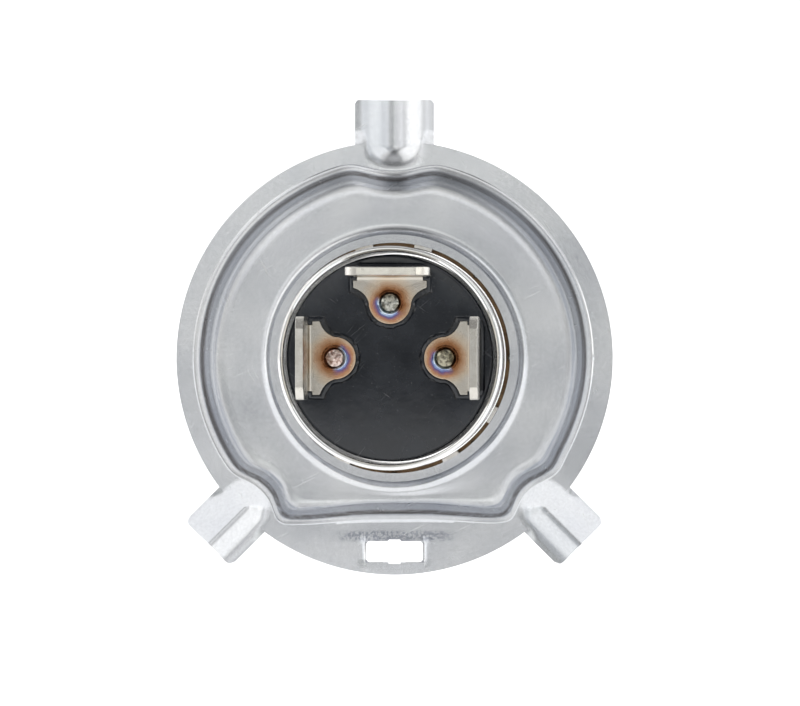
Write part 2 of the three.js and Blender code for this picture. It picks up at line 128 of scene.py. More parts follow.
# a round wire along a list of points
def addWire(bm, path, radius, sides=14):
    rings = []
    for i, point in enumerate(path):
        before = Vector(path[max(i - 1, 0)])
        after = Vector(path[min(i + 1, len(path) - 1)])
        turn = Vector((0, 0, 1)).rotation_difference((after - before).normalized()).to_matrix().to_4x4()
        place = Matrix.Translation(point) @ turn
        isEnd = i in (0, len(path) - 1)
        ring = bmesh.ops.create_circle(bm, segments=sides, radius=radius, matrix=place, cap_ends=isEnd)
        rings.append(ring["verts"])
    for low, high in zip(rings, rings[1:]):
        edges = {e for v in low for e in v.link_edges if e.other_vert(v) in low}
        edges |= {e for v in high for e in v.link_edges if e.other_vert(v) in high}
        bmesh.ops.bridge_loops(bm, edges=list(edges))


# points on a smooth curve through the given ones
def smoothPath(points, steps=8):
    points = [Vector(p) for p in points]
    path = []
    for i in range(len(points) - 1):
        a = points[max(i - 1, 0)]
        b, c = points[i], points[i + 1]
        d = points[min(i + 2, len(points) - 1)]
        for k in range(steps):
            t = k / steps
            path.append(0.5 * (2 * b + (c - a) * t + (2 * a - 5 * b + 4 * c - d) * t ** 2
                               + (3 * b - a - 3 * c + d) * t ** 3))
    return path + [points[-1]]


def finishPiece(bm, name, nodes, material, sharpAngle=35, mergeAt=0.0005, rearFacing=False):
    bmesh.ops.remove_doubles(bm, verts=bm.verts, dist=mergeAt)
    bmesh.ops.recalc_face_normals(bm, faces=bm.faces)
    if rearFacing:
        faceRear(bm)
    bmesh.ops.scale(bm, verts=bm.verts, vec=(mm, mm, mm))
    return makeObject(bm, name, nodes, material, sharpAngle)


# an open sheet is turned so that its drawn side faces the rear
def faceRear(bm):
    facing = sum(face.normal.y * face.calc_area() for face in bm.faces if abs(face.normal.y) > 0.9)
    if facing > 0:
        bmesh.ops.reverse_faces(bm, faces=bm.faces)


def makeObject(bm, name, nodes, material, sharpAngle):
    mesh = bpy.data.meshes.new(name)
    bm.to_mesh(mesh)
    bm.free()
    mesh.shade_smooth()
    mesh.set_sharp_from_angle(angle=math.radians(sharpAngle))
    mesh.materials.append(material)
    piece = bpy.data.objects.new(name, mesh)
    bpy.context.scene.collection.objects.link(piece)
    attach(piece, "root")
    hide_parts(*nodes)
    return piece


def addModifier(piece, kind, **settings):
    modifier = piece.modifiers.new(kind.title(), kind)
    for key, value in settings.items():
        setattr(modifier, key, value)
    return modifier


def roundEdges(piece, width, segments=3, angle=35):
    addModifier(piece, "BEVEL", width=width * mm, segments=segments, limit_method="ANGLE",
                angle_limit=math.radians(angle), profile=0.5, harden_normals=True)


# ---------- shader maths: a socket that adds Math nodes as it is used

class Val:
    def __init__(self, tree, socket):
        self.tree = tree
        self.socket = socket

    def math(self, operation, other=None):
        node = self.tree.nodes.new("ShaderNodeMath")
        node.operation = operation
        for index, item in enumerate((self, other)):
            if item is None:
                continue
            if isinstance(item, Val):
                self.tree.links.new(item.socket, node.inputs[index])
            else:
                node.inputs[index].default_value = item
        return Val(self.tree, node.outputs[0])

    def swapped(self, operation, other):
        node = self.tree.nodes.new("ShaderNodeMath")
        node.operation = operation
        node.inputs[0].default_value = other
        self.tree.links.new(self.socket, node.inputs[1])
        return Val(self.tree, node.outputs[0])

    def __add__(self, other):
        return self.math("ADD", other)

    __radd__ = __add__

    def __sub__(self, other):
        return self.math("SUBTRACT", other)

    def __rsub__(self, other):
        return self.swapped("SUBTRACT", other)

    def __mul__(self, other):
        return self.math("MULTIPLY", other)

    __rmul__ = __mul__

    def __truediv__(self, other):
        return self.math("DIVIDE", other)

    def atLeast(self, other):
        return self.math("MAXIMUM", other)

    def root(self):
        return self.math("SQRT")

    # 0 below low, 1 above high, smooth between
    def between(self, low, high):
        node = self.tree.nodes.new("ShaderNodeMapRange")
        node.interpolation_type = "SMOOTHSTEP"
        self.tree.links.new(self.socket, node.inputs["Value"])
        node.inputs["From Min"].default_value = low
        node.inputs["From Max"].default_value = high
        return Val(self.tree, node.outputs["Result"])


class Finish:
    def __init__(self, name):
        self.material = bpy.data.materials.new(name)
        self.material.use_nodes = True
        self.tree = self.material.node_tree
        self.shader = self.tree.nodes["Principled BSDF"]
        place = self.tree.nodes.new("ShaderNodeTexCoord")
        self.place = Val(self.tree, place.outputs["Object"])
        split = self.node("ShaderNodeSeparateXYZ", {}, {"Vector": self.place})
        self.x = Val(self.tree, split.outputs["X"]) * 1000.0
        self.y = Val(self.tree, split.outputs["Y"]) * 1000.0
        self.z = Val(self.tree, split.outputs["Z"]) * 1000.0

    def connect(self, socket, value):
        if isinstance(value, Val):
            self.tree.links.new(value.socket, socket)
        elif isinstance(value, tuple) and len(value) == 3 and socket.type == "RGBA":
            socket.default_value = (*value, 1)
        else:
            socket.default_value = value

    def node(self, kind, settings, inputs):
        node = self.tree.nodes.new(kind)
        for key, value in settings.items():
            if key == "stops":
                ramp = node.color_ramp.elements
                while len(ramp) < len(value):
                    ramp.new(0.5)
                for element, (position, colour) in zip(ramp, value):
                    element.position = position
                    element.color = (*colour, 1)
            else:
                setattr(node, key, value)
        for key, value in inputs.items():
            self.connect(node.inputs[key], value)
        return node

    def val(self, kind, settings, inputs):
        return Val(self.tree, self.node(kind, settings, inputs).outputs[0])

    def mix(self, factor, a, b, blend="MIX"):
        node = self.node("ShaderNodeMix", {"data_type": "RGBA", "blend_type": blend}, {})
        self.connect(node.inputs[0], factor)
        self.connect(node.inputs[6], a)
        self.connect(node.inputs[7], b)
        return Val(self.tree, node.outputs[2])

    # noise in object space: stretch scales the place along each axis first, per millimetre
    def noise(self, stretch, detail, roughness):
        scaled = self.val("ShaderNodeVectorMath", {"operation": "MULTIPLY"},
                          {0: self.place, 1: tuple(s * 1000.0 for s in stretch)})
        return self.noiseAt(scaled, detail, roughness)

    def noiseAt(self, place, detail, roughness):
        return self.val("ShaderNodeTexNoise", {}, {"Vector": place, "Scale": 1.0, "Detail": detail,
                                                   "Roughness": roughness})

    def ramp(self, factor, stops):
        return self.val("ShaderNodeValToRGB", {"stops": stops}, {"Fac": factor})

    def bump(self, height, distance, strength):
        inputs = {"Height": height, "Distance": distance * mm, "Strength": strength}
        return self.val("ShaderNodeBump", {}, inputs)

    def set(self, **sockets):
        for key, value in sockets.items():
            self.connect(self.shader.inputs[key.replace("_", " ")], value)
        return self.material


print("tools ready")


# ---------- flange: one pressed sheet, its rear side drawn first, then given its thickness

flange = {
    "columns": 480, "sheet": 0.8, "radius": 21.48, "ringY": -1.9, "dishY": 0.5,
    "collar": 12.3, "lip": 12.2, "lipY": -4.18, "fillet": 1.0, "dishEnd": 16.55, "ringStart": 19.65,
    "gentle": (4.0, 12), "concave": 1.25, "convex": 1.0, "slope": 60, "wallTop": 18.78,
    "follow": 0.75, "cone": 0.018, "edgeRound": 0.2, "squash": 0.993,
}
# clock angle and radius of the top of the step wall all round the flange
wallTop = (
    (0, 17.7), (3, 17.75), (6, 18.05), (10, 18.55), (13, 18.8), (20, 18.8), (60, 18.75),
    (90, 18.72), (110, 18.62), (120, 18.68), (125, 18.9), (128, 18.55), (132, 17.95), (135, 17.8),
    (138, 17.9), (141, 18.35), (144, 19.0), (147, 18.65), (150, 18.05), (155, 17.1), (160, 16.35),
    (165, 15.8), (170, 15.45), (175, 15.28), (180, 15.22), (185, 15.3), (190, 15.5), (195, 15.9),
    (200, 16.5), (205, 17.3), (210, 18.25), (214.5, 19.15), (217, 18.85), (220, 18.1), (223, 17.8),
    (226, 17.8), (229, 18.0), (232, 18.55), (235, 18.9), (240, 18.95), (260, 19.0), (270, 19.02),
    (300, 18.95), (330, 18.9), (345, 18.95), (348, 18.8), (352, 18.2), (356, 17.8), (360, 17.7),
)
lugs = (
    {"clock": 0, "half": 3.88, "end": 25.57, "rise": 1.35, "corner": 0.35, "start": 18.6, "curve": 1.0},
    {"clock": 135, "half": 3.15, "end": 26.05, "rise": 1.25, "corner": 0.7, "start": 18.5, "curve": 0.75},
    {"clock": 225, "half": 3.15, "end": 26.05, "rise": 1.25, "corner": 0.7, "start": 18.5, "curve": 0.75},
)
slot = {"width": 5.6, "height": 2.06, "drop": 19.2, "notch": 1.2, "notchDepth": 0.18,
        "corner": 0.4, "window": (7.1, 2.9), "rollOver": 0.42, "dip": 0.3,
        "lipOut": 0.06, "side": (1.6, 2.3), "rows": 4}


def wallTopAt(clock):
    clock = clock % 360
    for (low, lowRadius), (high, highRadius) in zip(wallTop, wallTop[1:]):
        if low <= clock <= high:
            return mix(lowRadius, highRadius, (clock - low) / (high - low))
    return wallTop[0][1]


def smoothWallTop(clock):
    return sum(wallTopAt(clock + 0.45 * k) for k in range(-4, 5)) / 9


def lugSpot(lug, x, z):
    clock = math.radians(lug["clock"])
    return x * math.cos(clock) - z * math.sin(clock), x * math.sin(clock) + z * math.cos(clock)


def lugWorld(lug, x, z):
    clock = math.radians(lug["clock"])
    return x * math.cos(clock) + z * math.sin(clock), -x * math.sin(clock) + z * math.cos(clock)


def lugHeight(lug, x, z, base):
    wide = lug["half"]
    across = min(abs(x) / wide, 1.0)
    start = lug["start"] + 0.8 * across ** 2
    amount = smoothStep(z, start, start + 2.4)
    trough = -flange["sheet"] - lug["rise"] * smoothStep(across, 0.0, 1.0) ** lug["curve"]
    rim = math.sqrt(flange["radius"] ** 2 - lug["half"] ** 2)
    trough = mix(max(trough, base), trough, smoothStep(z, rim, rim + 1.5))
    beyond = max(abs(x) - wide, 0.0)
    return mix(base, trough, amount * math.exp(-(beyond / 0.35) ** 2))


def flangeProfile():
    d = flange
    neckX, neckY = d["collar"] + d["fillet"], d["dishY"] - d["fillet"]
    points = [(mix(d["lip"], d["collar"], i / 8), mix(d["lipY"], neckY, i / 8)) for i in range(8)]
    points += arcPoints(neckX, neckY, d["fillet"], 180, 90, 10)
    first = points[-1][0]
    last = d["dishEnd"]
    points += [(mix(first, last, i / 16), d["dishY"]) for i in range(1, 16)]
    radius, tilt = d["gentle"]
    points += arcPoints(last, d["dishY"] - radius, radius, 90, 90 - tilt, 6)
    turnX, turnY = points[-1]
    middleX = turnX - d["concave"] * math.sin(math.radians(tilt))
    middleY = turnY - d["concave"] * math.cos(math.radians(tilt))
    points += arcPoints(middleX, middleY, d["concave"], 90 - tilt, 90 - d["slope"], 9)[1:]
    points += arcPoints(d["ringStart"], d["ringY"] + d["convex"], d["convex"], 270 - d["slope"], 270, 9)
    points += [(mix(d["ringStart"], d["radius"], i / 24), d["ringY"]) for i in range(1, 25)]
    return points


# columns of the spun sheet are turned a little so that one meets each side of a lug
def alignedClock(clock):
    step = 360 / flange["columns"]
    for lug in lugs:
        away = (clock - lug["clock"] + 180) % 360 - 180
        edge = math.degrees(math.asin(lug["half"] / flange["radius"]))
        whole = round(edge / step) * step
        reach = abs(away)
        if reach <= whole + 0.01:
            return lug["clock"] + away * edge / whole
        if reach < whole + 8:
            shift = (edge - whole) * (1 - (reach - whole) / 8)
            return lug["clock"] + math.copysign(reach + shift, away)
    return clock


def shapeFlangeVert(vert):
    d = flange
    x, y, z = vert.co
    radius = math.hypot(x, z)
    clock = alignedClock(math.degrees(math.atan2(x, z)))
    neck, dishEnd, ringStart = d["collar"] + d["fillet"], d["dishEnd"], d["ringStart"]
    shift = smoothWallTop(clock) - d["wallTop"]
    innerShift = shift * d["follow"] if shift < 0 else shift * 0.3
    if radius > ringStart:
        moved = mix(ringStart + shift, d["radius"], (radius - ringStart) / (d["radius"] - ringStart))
    elif radius > dishEnd:
        moved = radius + mix(innerShift, shift, smoothStep(radius, dishEnd, dishEnd + 1.9))
    elif radius > neck:
        moved = mix(neck, dishEnd + innerShift, (radius - neck) / (dishEnd - neck))
    else:
        moved = radius
    turn = math.radians(clock)
    x, z = moved * math.sin(turn), moved * math.cos(turn)
    if neck < radius < ringStart:
        y -= d["cone"] * (moved - neck) * smoothStep(radius, neck, dishEnd)
    for lug in lugs:
        across, along = lugSpot(lug, x, z)
        if along > 17 and abs(across) < lug["half"] + 3:
            y = lugHeight(lug, across, along, y)
    wave = noise.noise((x * 0.11, z * 0.11, 3.0)) * 0.05 * smoothStep(radius, 13.5, 16)
    vert.co = (x, y + wave, z)


# a place in a row of the lug, the last row with rounded corners
def lugRowSpot(lug, x, share):
    wide = min(abs(x), lug["half"])
    corner = lug["corner"]
    startZ = math.sqrt(flange["radius"] ** 2 - wide * wide)
    inset = max(wide - (lug["half"] - corner), 0) / corner
    endZ = lug["end"] - corner * (1 - math.sqrt(max(1 - min(inset, 1) ** 2, 0)))
    return math.copysign(wide, x), mix(startZ, endZ, share)


def extrudeLug(bm, lug):
    half = lug["half"]
    rim = flange["radius"] - 0.05
    start = []
    for edge in bm.edges:
        if not edge.is_boundary:
            continue
        spots = [lugSpot(lug, vert.co.x, vert.co.z) for vert in edge.verts]
        if all(z > 20 and abs(x) < half + 0.02 and math.hypot(x, z) > rim for x, z in spots):
            start.append(edge)
    columns = {}
    for vert in {v for edge in start for v in edge.verts}:
        columns[vert] = lugSpot(lug, vert.co.x, vert.co.z)[0]
    rows = 20
    edges = start
    for row in range(1, rows + 1):
        edges, columns = growEdges(bm, edges, columns)
        for vert, x in columns.items():
            across, along = lugRowSpot(lug, x, row / rows)
            worldX, worldZ = lugWorld(lug, across, along)
            vert.co = (worldX, lugHeight(lug, across, along, flange["ringY"]), worldZ)


# extrudes a run of edges once and hands each new vertex the tag of the one that it came from
def growEdges(bm, edges, tags):
    places = {vert.co.to_tuple(5): tag for vert, tag in tags.items()}
    made = bmesh.ops.extrude_edge_only(bm, edges=edges)["geom"]
    verts = onlyVerts(made)
    fresh = set(verts)
    newTags = {vert: places[vert.co.to_tuple(5)] for vert in verts}
    newEdges = [item for item in made if isinstance(item, bmesh.types.BMEdge)
                and item.verts[0] in fresh and item.verts[1] in fresh]
    return newEdges, newTags


def roundedOutline(width, height, corner, steps=6):
    outline = []
    for x, z, start in ((1, 1, 0), (-1, 1, 90), (-1, -1, 180), (1, -1, 270)):
        middleX, middleZ = x * (width / 2 - corner), z * (height / 2 - corner)
        outline += arcPoints(middleX, middleZ, corner, start, start + 90, steps)
    return outline


def slotOutline():
    d = slot
    half = d["height"] / 2
    notch, deep = d["notch"] / 2, half + d["notchDepth"]
    top = [(notch + 0.5, half), (notch + 0.08, half), (notch, half + 0.05), (notch - 0.04, deep),
           (-notch + 0.04, deep), (-notch, half + 0.05), (-notch - 0.08, half), (-notch - 0.5, half)]
    outline = roundedOutline(d["width"], d["height"], d["corner"])
    bottom = [(-x, -z) for x, z in top]
    corner = len(outline) // 4
    return outline[:corner] + top + outline[corner:3 * corner] + bottom + outline[3 * corner:]


def closedLoop(bm, points):
    verts = addLine(bm, points)
    edges = linkedEdges(verts)
    edges.append(bm.edges.new((verts[-1], verts[0])))
    return verts, edges


def cutSlot(bm):
    d = slot
    wide, tall = d["window"]
    hole = [vert for vert in bm.verts
            if abs(vert.co.x) < wide / 2 and abs(vert.co.z + d["drop"]) < tall / 2]
    bmesh.ops.delete(bm, geom=hole, context="VERTS")
    border = [edge for edge in bm.edges if edge.is_boundary
              and all(abs(v.co.x) < wide / 2 + 1 and abs(v.co.z + d["drop"]) < tall / 2 + 0.6
                      and math.hypot(v.co.x, v.co.z) < flange["radius"] - 0.1 for v in edge.verts)]
    outline = slotOutline()
    ringY, drop = flange["ringY"], d["drop"]
    verts, edges = closedLoop(bm, [(x, ringY + d["dip"] * smoothStep(abs(x), *d["side"]), z - drop)
                                   for x, z in outline])
    tags = dict(zip(verts, outline))
    for step in range(1, d["rows"] + 1):
        share = step / d["rows"]
        edges, tags = growEdges(bm, edges, tags)
        for vert, (x, z) in tags.items():
            side = smoothStep(abs(x), *d["side"])
            out = mix(d["lipOut"], d["rollOver"], side) * share
            dip = d["dip"] * side * (1 - math.sin(share * math.pi / 2))
            vert.co = (x + math.copysign(out * side, x), ringY + dip,
                       z - drop + math.copysign(d["lipOut"] * share, z))
    fillFlat(bm, border + edges)


def buildFlange(material):
    bm = bmesh.new()
    spinProfile(bm, flangeProfile(), flange["columns"])
    bmesh.ops.remove_doubles(bm, verts=bm.verts, dist=0.0005)
    for vert in bm.verts:
        shapeFlangeVert(vert)
    for lug in lugs:
        extrudeLug(bm, lug)
    cutSlot(bm)
    bmesh.ops.scale(bm, verts=bm.verts, vec=(1, 1, flange["squash"]))
    piece = finishPiece(bm, "flangeCap", ["flange"], material, 30, rearFacing=True)
    addModifier(piece, "SOLIDIFY", thickness=flange["sheet"] * mm, offset=-1.0, use_even_offset=True)
    roundEdges(piece, flange["edgeRound"], 3, 50)
    return piece


# ---------- round sheet parts

rearShell = {"radius": 10.85, "wall": 0.5, "rearY": -17.0, "frontY": 4.0, "roll": 0.54}


def buildRearShell(material):
    d = rearShell
    bm = bmesh.new()
    outer, inner = d["radius"], d["radius"] - d["wall"]
    half = d["roll"] / 2
    rear = d["rearY"]
    profile = [(inner, d["frontY"]), (inner, -8), (inner, rear + 1.5), (inner - 0.03, rear + 0.95)]
    profile += arcPoints(outer - half, rear + half, half, 180, 360, 14)
    profile += [(outer, rear + 1.2), (outer - 0.02, rear + 2.4), (outer, rear + 2.6),
                (outer, -8), (outer, d["frontY"] - 0.15), (outer - 0.15, d["frontY"])]
    spinProfile(bm, profile, 160, isClosed=True)
    return finishPiece(bm, "rearShell", ["rear_shell"], material)


alignmentRing = {"inner": 10.95, "wall": 0.48, "tabWall": 0.28,
                 "rearY": -1.2, "frontY": 2.4, "tabRearY": -4.5,
                 "tabs": (15, 120, 150, 207, 240, 345), "span": 9,
                 "ribs": (45, 90, 137, 180, 225, 270, 315),
                 "ribAt": (11.36, -2.6), "ribSize": (0.3, 1.35, 0.2)}


def buildAlignmentRing(material):
    d = alignmentRing
    bm = bmesh.new()
    inner, outer = d["inner"], d["inner"] + d["wall"]
    rear, front = d["rearY"], d["frontY"]
    spinProfile(bm, [(inner, rear), (outer, rear), (outer, front), (inner, front)], 160, isClosed=True)
    for clock in d["tabs"]:
        spots = [d["span"] * (i / 10 - 0.5) for i in range(11)]
        low = [turned(inner + 0.03, clock + s) for s in spots]
        high = [turned(inner + d["tabWall"] + 0.1, clock + s) for s in reversed(spots)]
        addPlate(bm, low + high, d["tabRearY"], rear + 1 - d["tabRearY"])
    ribRadius, ribY = d["ribAt"]
    for clock in d["ribs"]:
        rib = bmesh.ops.create_uvsphere(bm, u_segments=20, v_segments=14, radius=1)["verts"]
        bmesh.ops.scale(bm, verts=rib, vec=d["ribSize"])
        bmesh.ops.translate(bm, verts=rib, vec=(0, ribY, ribRadius))
        bmesh.ops.rotate(bm, verts=rib, cent=(0, 0, 0), matrix=clockTurn(clock).to_3x3())
    piece = finishPiece(bm, "alignmentRing", ["alignment_ring"], material)
    roundEdges(piece, 0.06, 2)
    return piece


# x and z of a point at a radius and a clock angle
def turned(radius, clock):
    return radius * math.sin(math.radians(clock)), radius * math.cos(math.radians(clock))


holderSleeve = {"radius": 10.2, "wall": 0.5, "rearY": -3.0, "frontY": 14.4,
                "mouth": 8.7, "corner": 0.9, "groove": 0.12}


def buildHolderSleeve(material):
    d = holderSleeve
    bm = bmesh.new()
    outer, front, corner = d["radius"], d["frontY"], d["corner"]
    bead = [(outer, 6.2), (outer - d["groove"], 6.5), (outer - d["groove"], 7.1), (outer, 7.4)]
    profile = [(outer - d["wall"], d["rearY"]), (outer, d["rearY"]), (outer, 0)] + bead
    profile += arcPoints(outer - corner, front - corner, corner, 0, 90, 8)
    profile += [(d["mouth"] + 0.12, front), (d["mouth"], front - 0.12), (d["mouth"], front - d["wall"])]
    profile += arcPoints(outer - corner, front - corner, corner - d["wall"], 90, 0, 5)
    spinProfile(bm, profile, 160, isClosed=True)
    return finishPiece(bm, "holderSleeve", ["holder_sleeve"], material)


pinchClip = {"radius": 9.3, "y": 9.6, "sheet": 0.5, "window": (15.2, 4.8), "tongue": 10.4, "tongueY": 3.2}


def buildPinchClip(material):
    d = pinchClip
    bm = bmesh.new()
    rim = [turned(d["radius"], 360 * i / 128) for i in range(128)]
    edges = closedLoop(bm, [(x, d["y"], z) for x, z in rim])[1]
    wide, tall = d["window"]
    edges += closedLoop(bm, [(x, d["y"], z) for x, z in roundedOutline(wide, tall, 0.3, 3)])[1]
    fillFlat(bm, edges)
    made = bmesh.ops.extrude_face_region(bm, geom=list(bm.faces))["geom"]
    bmesh.ops.translate(bm, verts=onlyVerts(made), vec=(0, d["sheet"], 0))
    near, far, half = tall / 2, tall / 2 + d["sheet"], d["tongue"] / 2
    for side in (-1, 1):
        outline = [(-half, side * near), (half, side * near), (half, side * far), (-half, side * far)]
        addPlate(bm, outline, d["tongueY"], d["y"] + d["sheet"] - d["tongueY"])
    piece = finishPiece(bm, "pinchClip", ["pinch_clip"], material)
    roundEdges(piece, 0.08, 2)
    return piece


# ---------- terminals: foot, eyelet, bend and blade from one strip, drawn flat and then folded

terminal = {
    "sheet": 0.8, "bladeHalf": 3.98, "endY": -27.98, "blade": 8.3, "chamfer": 1.15, "chamferLong": 1.8,
    "rearY": -16.4, "neck": 3.2, "ear": 3.55, "bead": 5.35, "lobe": 2.05, "eyelet": 1.25, "height": 0.15,
    "hole": 0.95, "bend": 0.35, "coinLong": 0.5, "coinDeep": 0.04,
}
terminalPlaces = (("top", 0, 0.0), ("right", 90, 4.7), ("left", 270, -4.7))


def footHalf(grow=0.0, steps=12):
    d = terminal
    lobe = d["lobe"] + grow
    points = [(lobe * math.sin(math.radians(a)), d["bead"] - lobe * math.cos(math.radians(a)))
              for a in [90 * i / steps for i in range(steps + 1)]]
    ear, earEnd, earTop = d["ear"] + grow, d["blade"] - 1.5 - grow, d["blade"] - 0.8 + grow
    start, pull, stop = points[-1], (lobe + 0.3, earEnd - 0.4), (ear, earEnd)
    for i in range(1, 7):
        t = i / 6
        points.append(tuple(mix(mix(a, b, t), mix(b, c, t), t) for a, b, c in zip(start, pull, stop)))
    return points + [(ear, earTop), (d["neck"] + grow, earTop)]


# bends the flat strip, whose length runs along z, into foot and blade
def foldStrip(vert):
    d = terminal
    radius = d["bend"]
    start = d["blade"] + d["sheet"] / 2 - (d["sheet"] + radius)
    quarter = radius * math.pi / 2
    x, lift, along = vert.co.x, vert.co.y, vert.co.z - start
    if along <= 0:
        vert.co.y = d["rearY"] + lift
    elif along < quarter:
        angle = along / radius
        vert.co = (x, d["rearY"] - radius + radius * math.cos(angle), start + radius * math.sin(angle))
    else:
        vert.co = (x, d["rearY"] - radius - (along - quarter), start + radius)


def buildTerminal(name, clock, material):
    d = terminal
    bm = bmesh.new()
    start = d["blade"] + d["sheet"] / 2 - d["sheet"] - d["bend"]
    quarter = d["bend"] * math.pi / 2
    tip = start + quarter + (d["rearY"] - d["bend"] - d["endY"])
    shoulder = start + quarter + 1.0 - d["bend"]
    half = footHalf()
    half += [(d["neck"], shoulder - 0.45), (d["neck"] + 0.2, shoulder - 0.15),
             (d["bladeHalf"] - 0.3, shoulder),
             (d["bladeHalf"], shoulder + 0.3), (d["bladeHalf"], tip - d["chamferLong"]),
             (d["bladeHalf"] - d["chamfer"], tip)]
    outline = half + [(-x, s) for x, s in reversed(half[1:])]
    edges = closedLoop(bm, [(x, 0, s) for x, s in outline])[1]
    ring = [(d["eyelet"] * math.cos(a), d["bead"] + d["eyelet"] * math.sin(a)) for a in
            [math.tau * i / 40 for i in range(40)]]
    edges += closedLoop(bm, [(x, 0, s) for x, s in ring])[1]
    fillFlat(bm, edges)
    for cut in [start + quarter * i / 8 for i in range(9)] + [tip - d["coinLong"]]:
        cutPlane(bm, (0, 0, cut), (0, 0, 1))
    profile = [(d["eyelet"], 0), (d["eyelet"] - 0.05, -0.1), (d["eyelet"] - 0.14, -d["height"]),
               (d["hole"] + 0.06, -d["height"] + 0.02), (d["hole"], -0.04), (d["hole"], 0.5)]
    spinProfile(bm, profile, 40, at=(0, d["bead"]))
    bmesh.ops.remove_doubles(bm, verts=bm.verts, dist=0.004)
    bm.verts.index_update()
    tips = [vert.index for vert in bm.verts if vert.co.z > tip - 0.01]
    for vert in bm.verts:
        isTip = vert.co.z > tip - 0.01
        foldStrip(vert)
        if isTip:
            vert.co.z += d["coinDeep"]
    bmesh.ops.rotate(bm, verts=bm.verts, cent=(0, 0, 0), matrix=clockTurn(clock).to_3x3())
    bmesh.ops.recalc_face_normals(bm, faces=bm.faces)
    faceRear(bm)
    bmesh.ops.scale(bm, verts=bm.verts, vec=(mm, mm, mm))
    piece = makeObject(bm, "terminal" + name.title(), ["terminal_" + name], material, 35)
    thin = piece.vertex_groups.new(name="thickness")
    thin.add(list(range(len(piece.data.vertices))), 1.0, "REPLACE")
    thin.add(tips, 1 - 2 * d["coinDeep"] / d["sheet"], "REPLACE")
    addModifier(piece, "SOLIDIFY", thickness=d["sheet"] * mm, offset=-1.0, vertex_group="thickness")
    roundEdges(piece, 0.06, 2, 40)
    return piece


weldBead = {"radius": 0.94, "dome": 0.5, "rearY": -16.32, "frontY": -16.08,
            "rough": {"top": 0.01, "right": 0.02, "left": 0.07}}


def buildWeldBead(name, clock, material):
    d = weldBead
    bm = bmesh.new()
    x, z = turned(terminal["bead"], clock)
    high = d["dome"] - 0.02
    profile = [(0, d["frontY"]), (d["radius"], d["frontY"])]
    profile += [(d["radius"] * math.cos(math.radians(a)), d["rearY"] - high * math.sin(math.radians(a)))
                for a in range(0, 86, 9)] + [(0, d["rearY"] - high)]
    spinProfile(bm, profile, 36, at=(x, z))
    rough = d["rough"][name]
    for vert in bm.verts:
        if vert.co.y < d["rearY"] - 0.05:
            bump = noise.noise((vert.co.x * 1.7, vert.co.z * 1.7, clock)) + 0.5 * noise.noise(
                (vert.co.x * 4, vert.co.z * 4, clock))
            vert.co.y += rough * (bump + 0.6)
    return finishPiece(bm, "weldBead" + name.title(), ["weld_bead_" + name], material)


# ---------- insulator disc with the pockets that the terminals' feet sit in

insulator = {"radius": 10.0, "rearY": -16.3, "frontY": -11.5, "edge": 0.35, "play": 0.05, "deep": 0.75,
             "moat": 0.5, "moatDepth": 0.1}


# the foot's outline, grown a little and made ragged as poured resin is
def pocketOutline(grow, clock, ragged):
    half = footHalf(grow)
    back = terminal["blade"] + terminal["sheet"] / 2 + grow
    half += [(terminal["neck"] + grow + 0.05, back - 0.3), (terminal["neck"] + grow - 0.3, back)]
    outline = half + [(-x, s) for x, s in reversed(half[1:])]
    points = []
    for i, (x, s) in enumerate(outline):
        after = outline[(i + 1) % len(outline)]
        for k in range(3):
            u, v = mix(x, after[0], k / 3), mix(s, after[1], k / 3)
            push = ragged * noise.noise((u * 2.3, v * 2.3, clock + grow * 3))
            away = Vector((u, v - terminal["bead"] - 1)).normalized()
            u, v = u + away.x * push, v + away.y * push
            turn = clockTurn(clock) @ Vector((u, 0, v))
            points.append((turn.x, turn.z))
    return points


def buildInsulator(material):
    d = insulator
    bm = bmesh.new()
    rim = [turned(d["radius"] - d["edge"], 360 * i / 144) for i in range(144)]
    edges = closedLoop(bm, [(x, d["rearY"], z) for x, z in rim])[1]
    for _, clock, _ in terminalPlaces:
        loops = []
        for grow, lift, ragged in ((d["play"], 0.0, 0.04), (d["play"] + 0.12, -0.03, 0.1),
                                   (d["moat"] * 0.75, d["moatDepth"], 0.1), (d["moat"], 0.0, 0.08)):
            outline = pocketOutline(grow, clock, ragged)
            loops.append(closedLoop(bm, [(x, d["rearY"] + lift, z) for x, z in outline]))
        for (_, low), (_, high) in zip(loops, loops[1:]):
            bmesh.ops.bridge_loops(bm, edges=low + high)
        edges += loops[-1][1]
        wall = bmesh.ops.extrude_edge_only(bm, edges=loops[0][1])["geom"]
        bottom = onlyVerts(wall)
        bmesh.ops.translate(bm, verts=bottom, vec=(0, d["deep"], 0))
        fillFlat(bm, [item for item in wall
                      if isinstance(item, bmesh.types.BMEdge) and all(v in bottom for v in item.verts)])
    fillFlat(bm, edges)
    profile = [(d["radius"] - d["edge"], d["rearY"])]
    profile += arcPoints(d["radius"] - d["edge"], d["rearY"] + d["edge"], d["edge"], -90, 0, 6)[1:]
    profile += [(d["radius"], d["frontY"]), (0, d["frontY"])]
    spinProfile(bm, profile, 144)
    return finishPiece(bm, "insulatorDisc", ["insulator"], material, 12, 0.02)


print("shapes described")


# ---------- wires, foils, filaments and the shield inside the glass

inside = {"lead": 0.4, "wire": 0.35, "foil": (2.4, 3.4, 11.4, 0.16),
          "coil": 0.7, "coilWire": 0.11, "turns": 9,
          "highBeam": (22.8, 27.3, 0.0), "lowBeam": (30.4, 35.8, 0.5)}
shield = {"middle": 33.3, "halfLength": 5.15, "halfWidth": 3.47, "depth": 3.37, "wall": 0.3, "slant": 15}


def buildWire(name, node, points, radius, material):
    bm = bmesh.new()
    addWire(bm, smoothPath(points), radius)
    return finishPiece(bm, name, [node], material, 50)


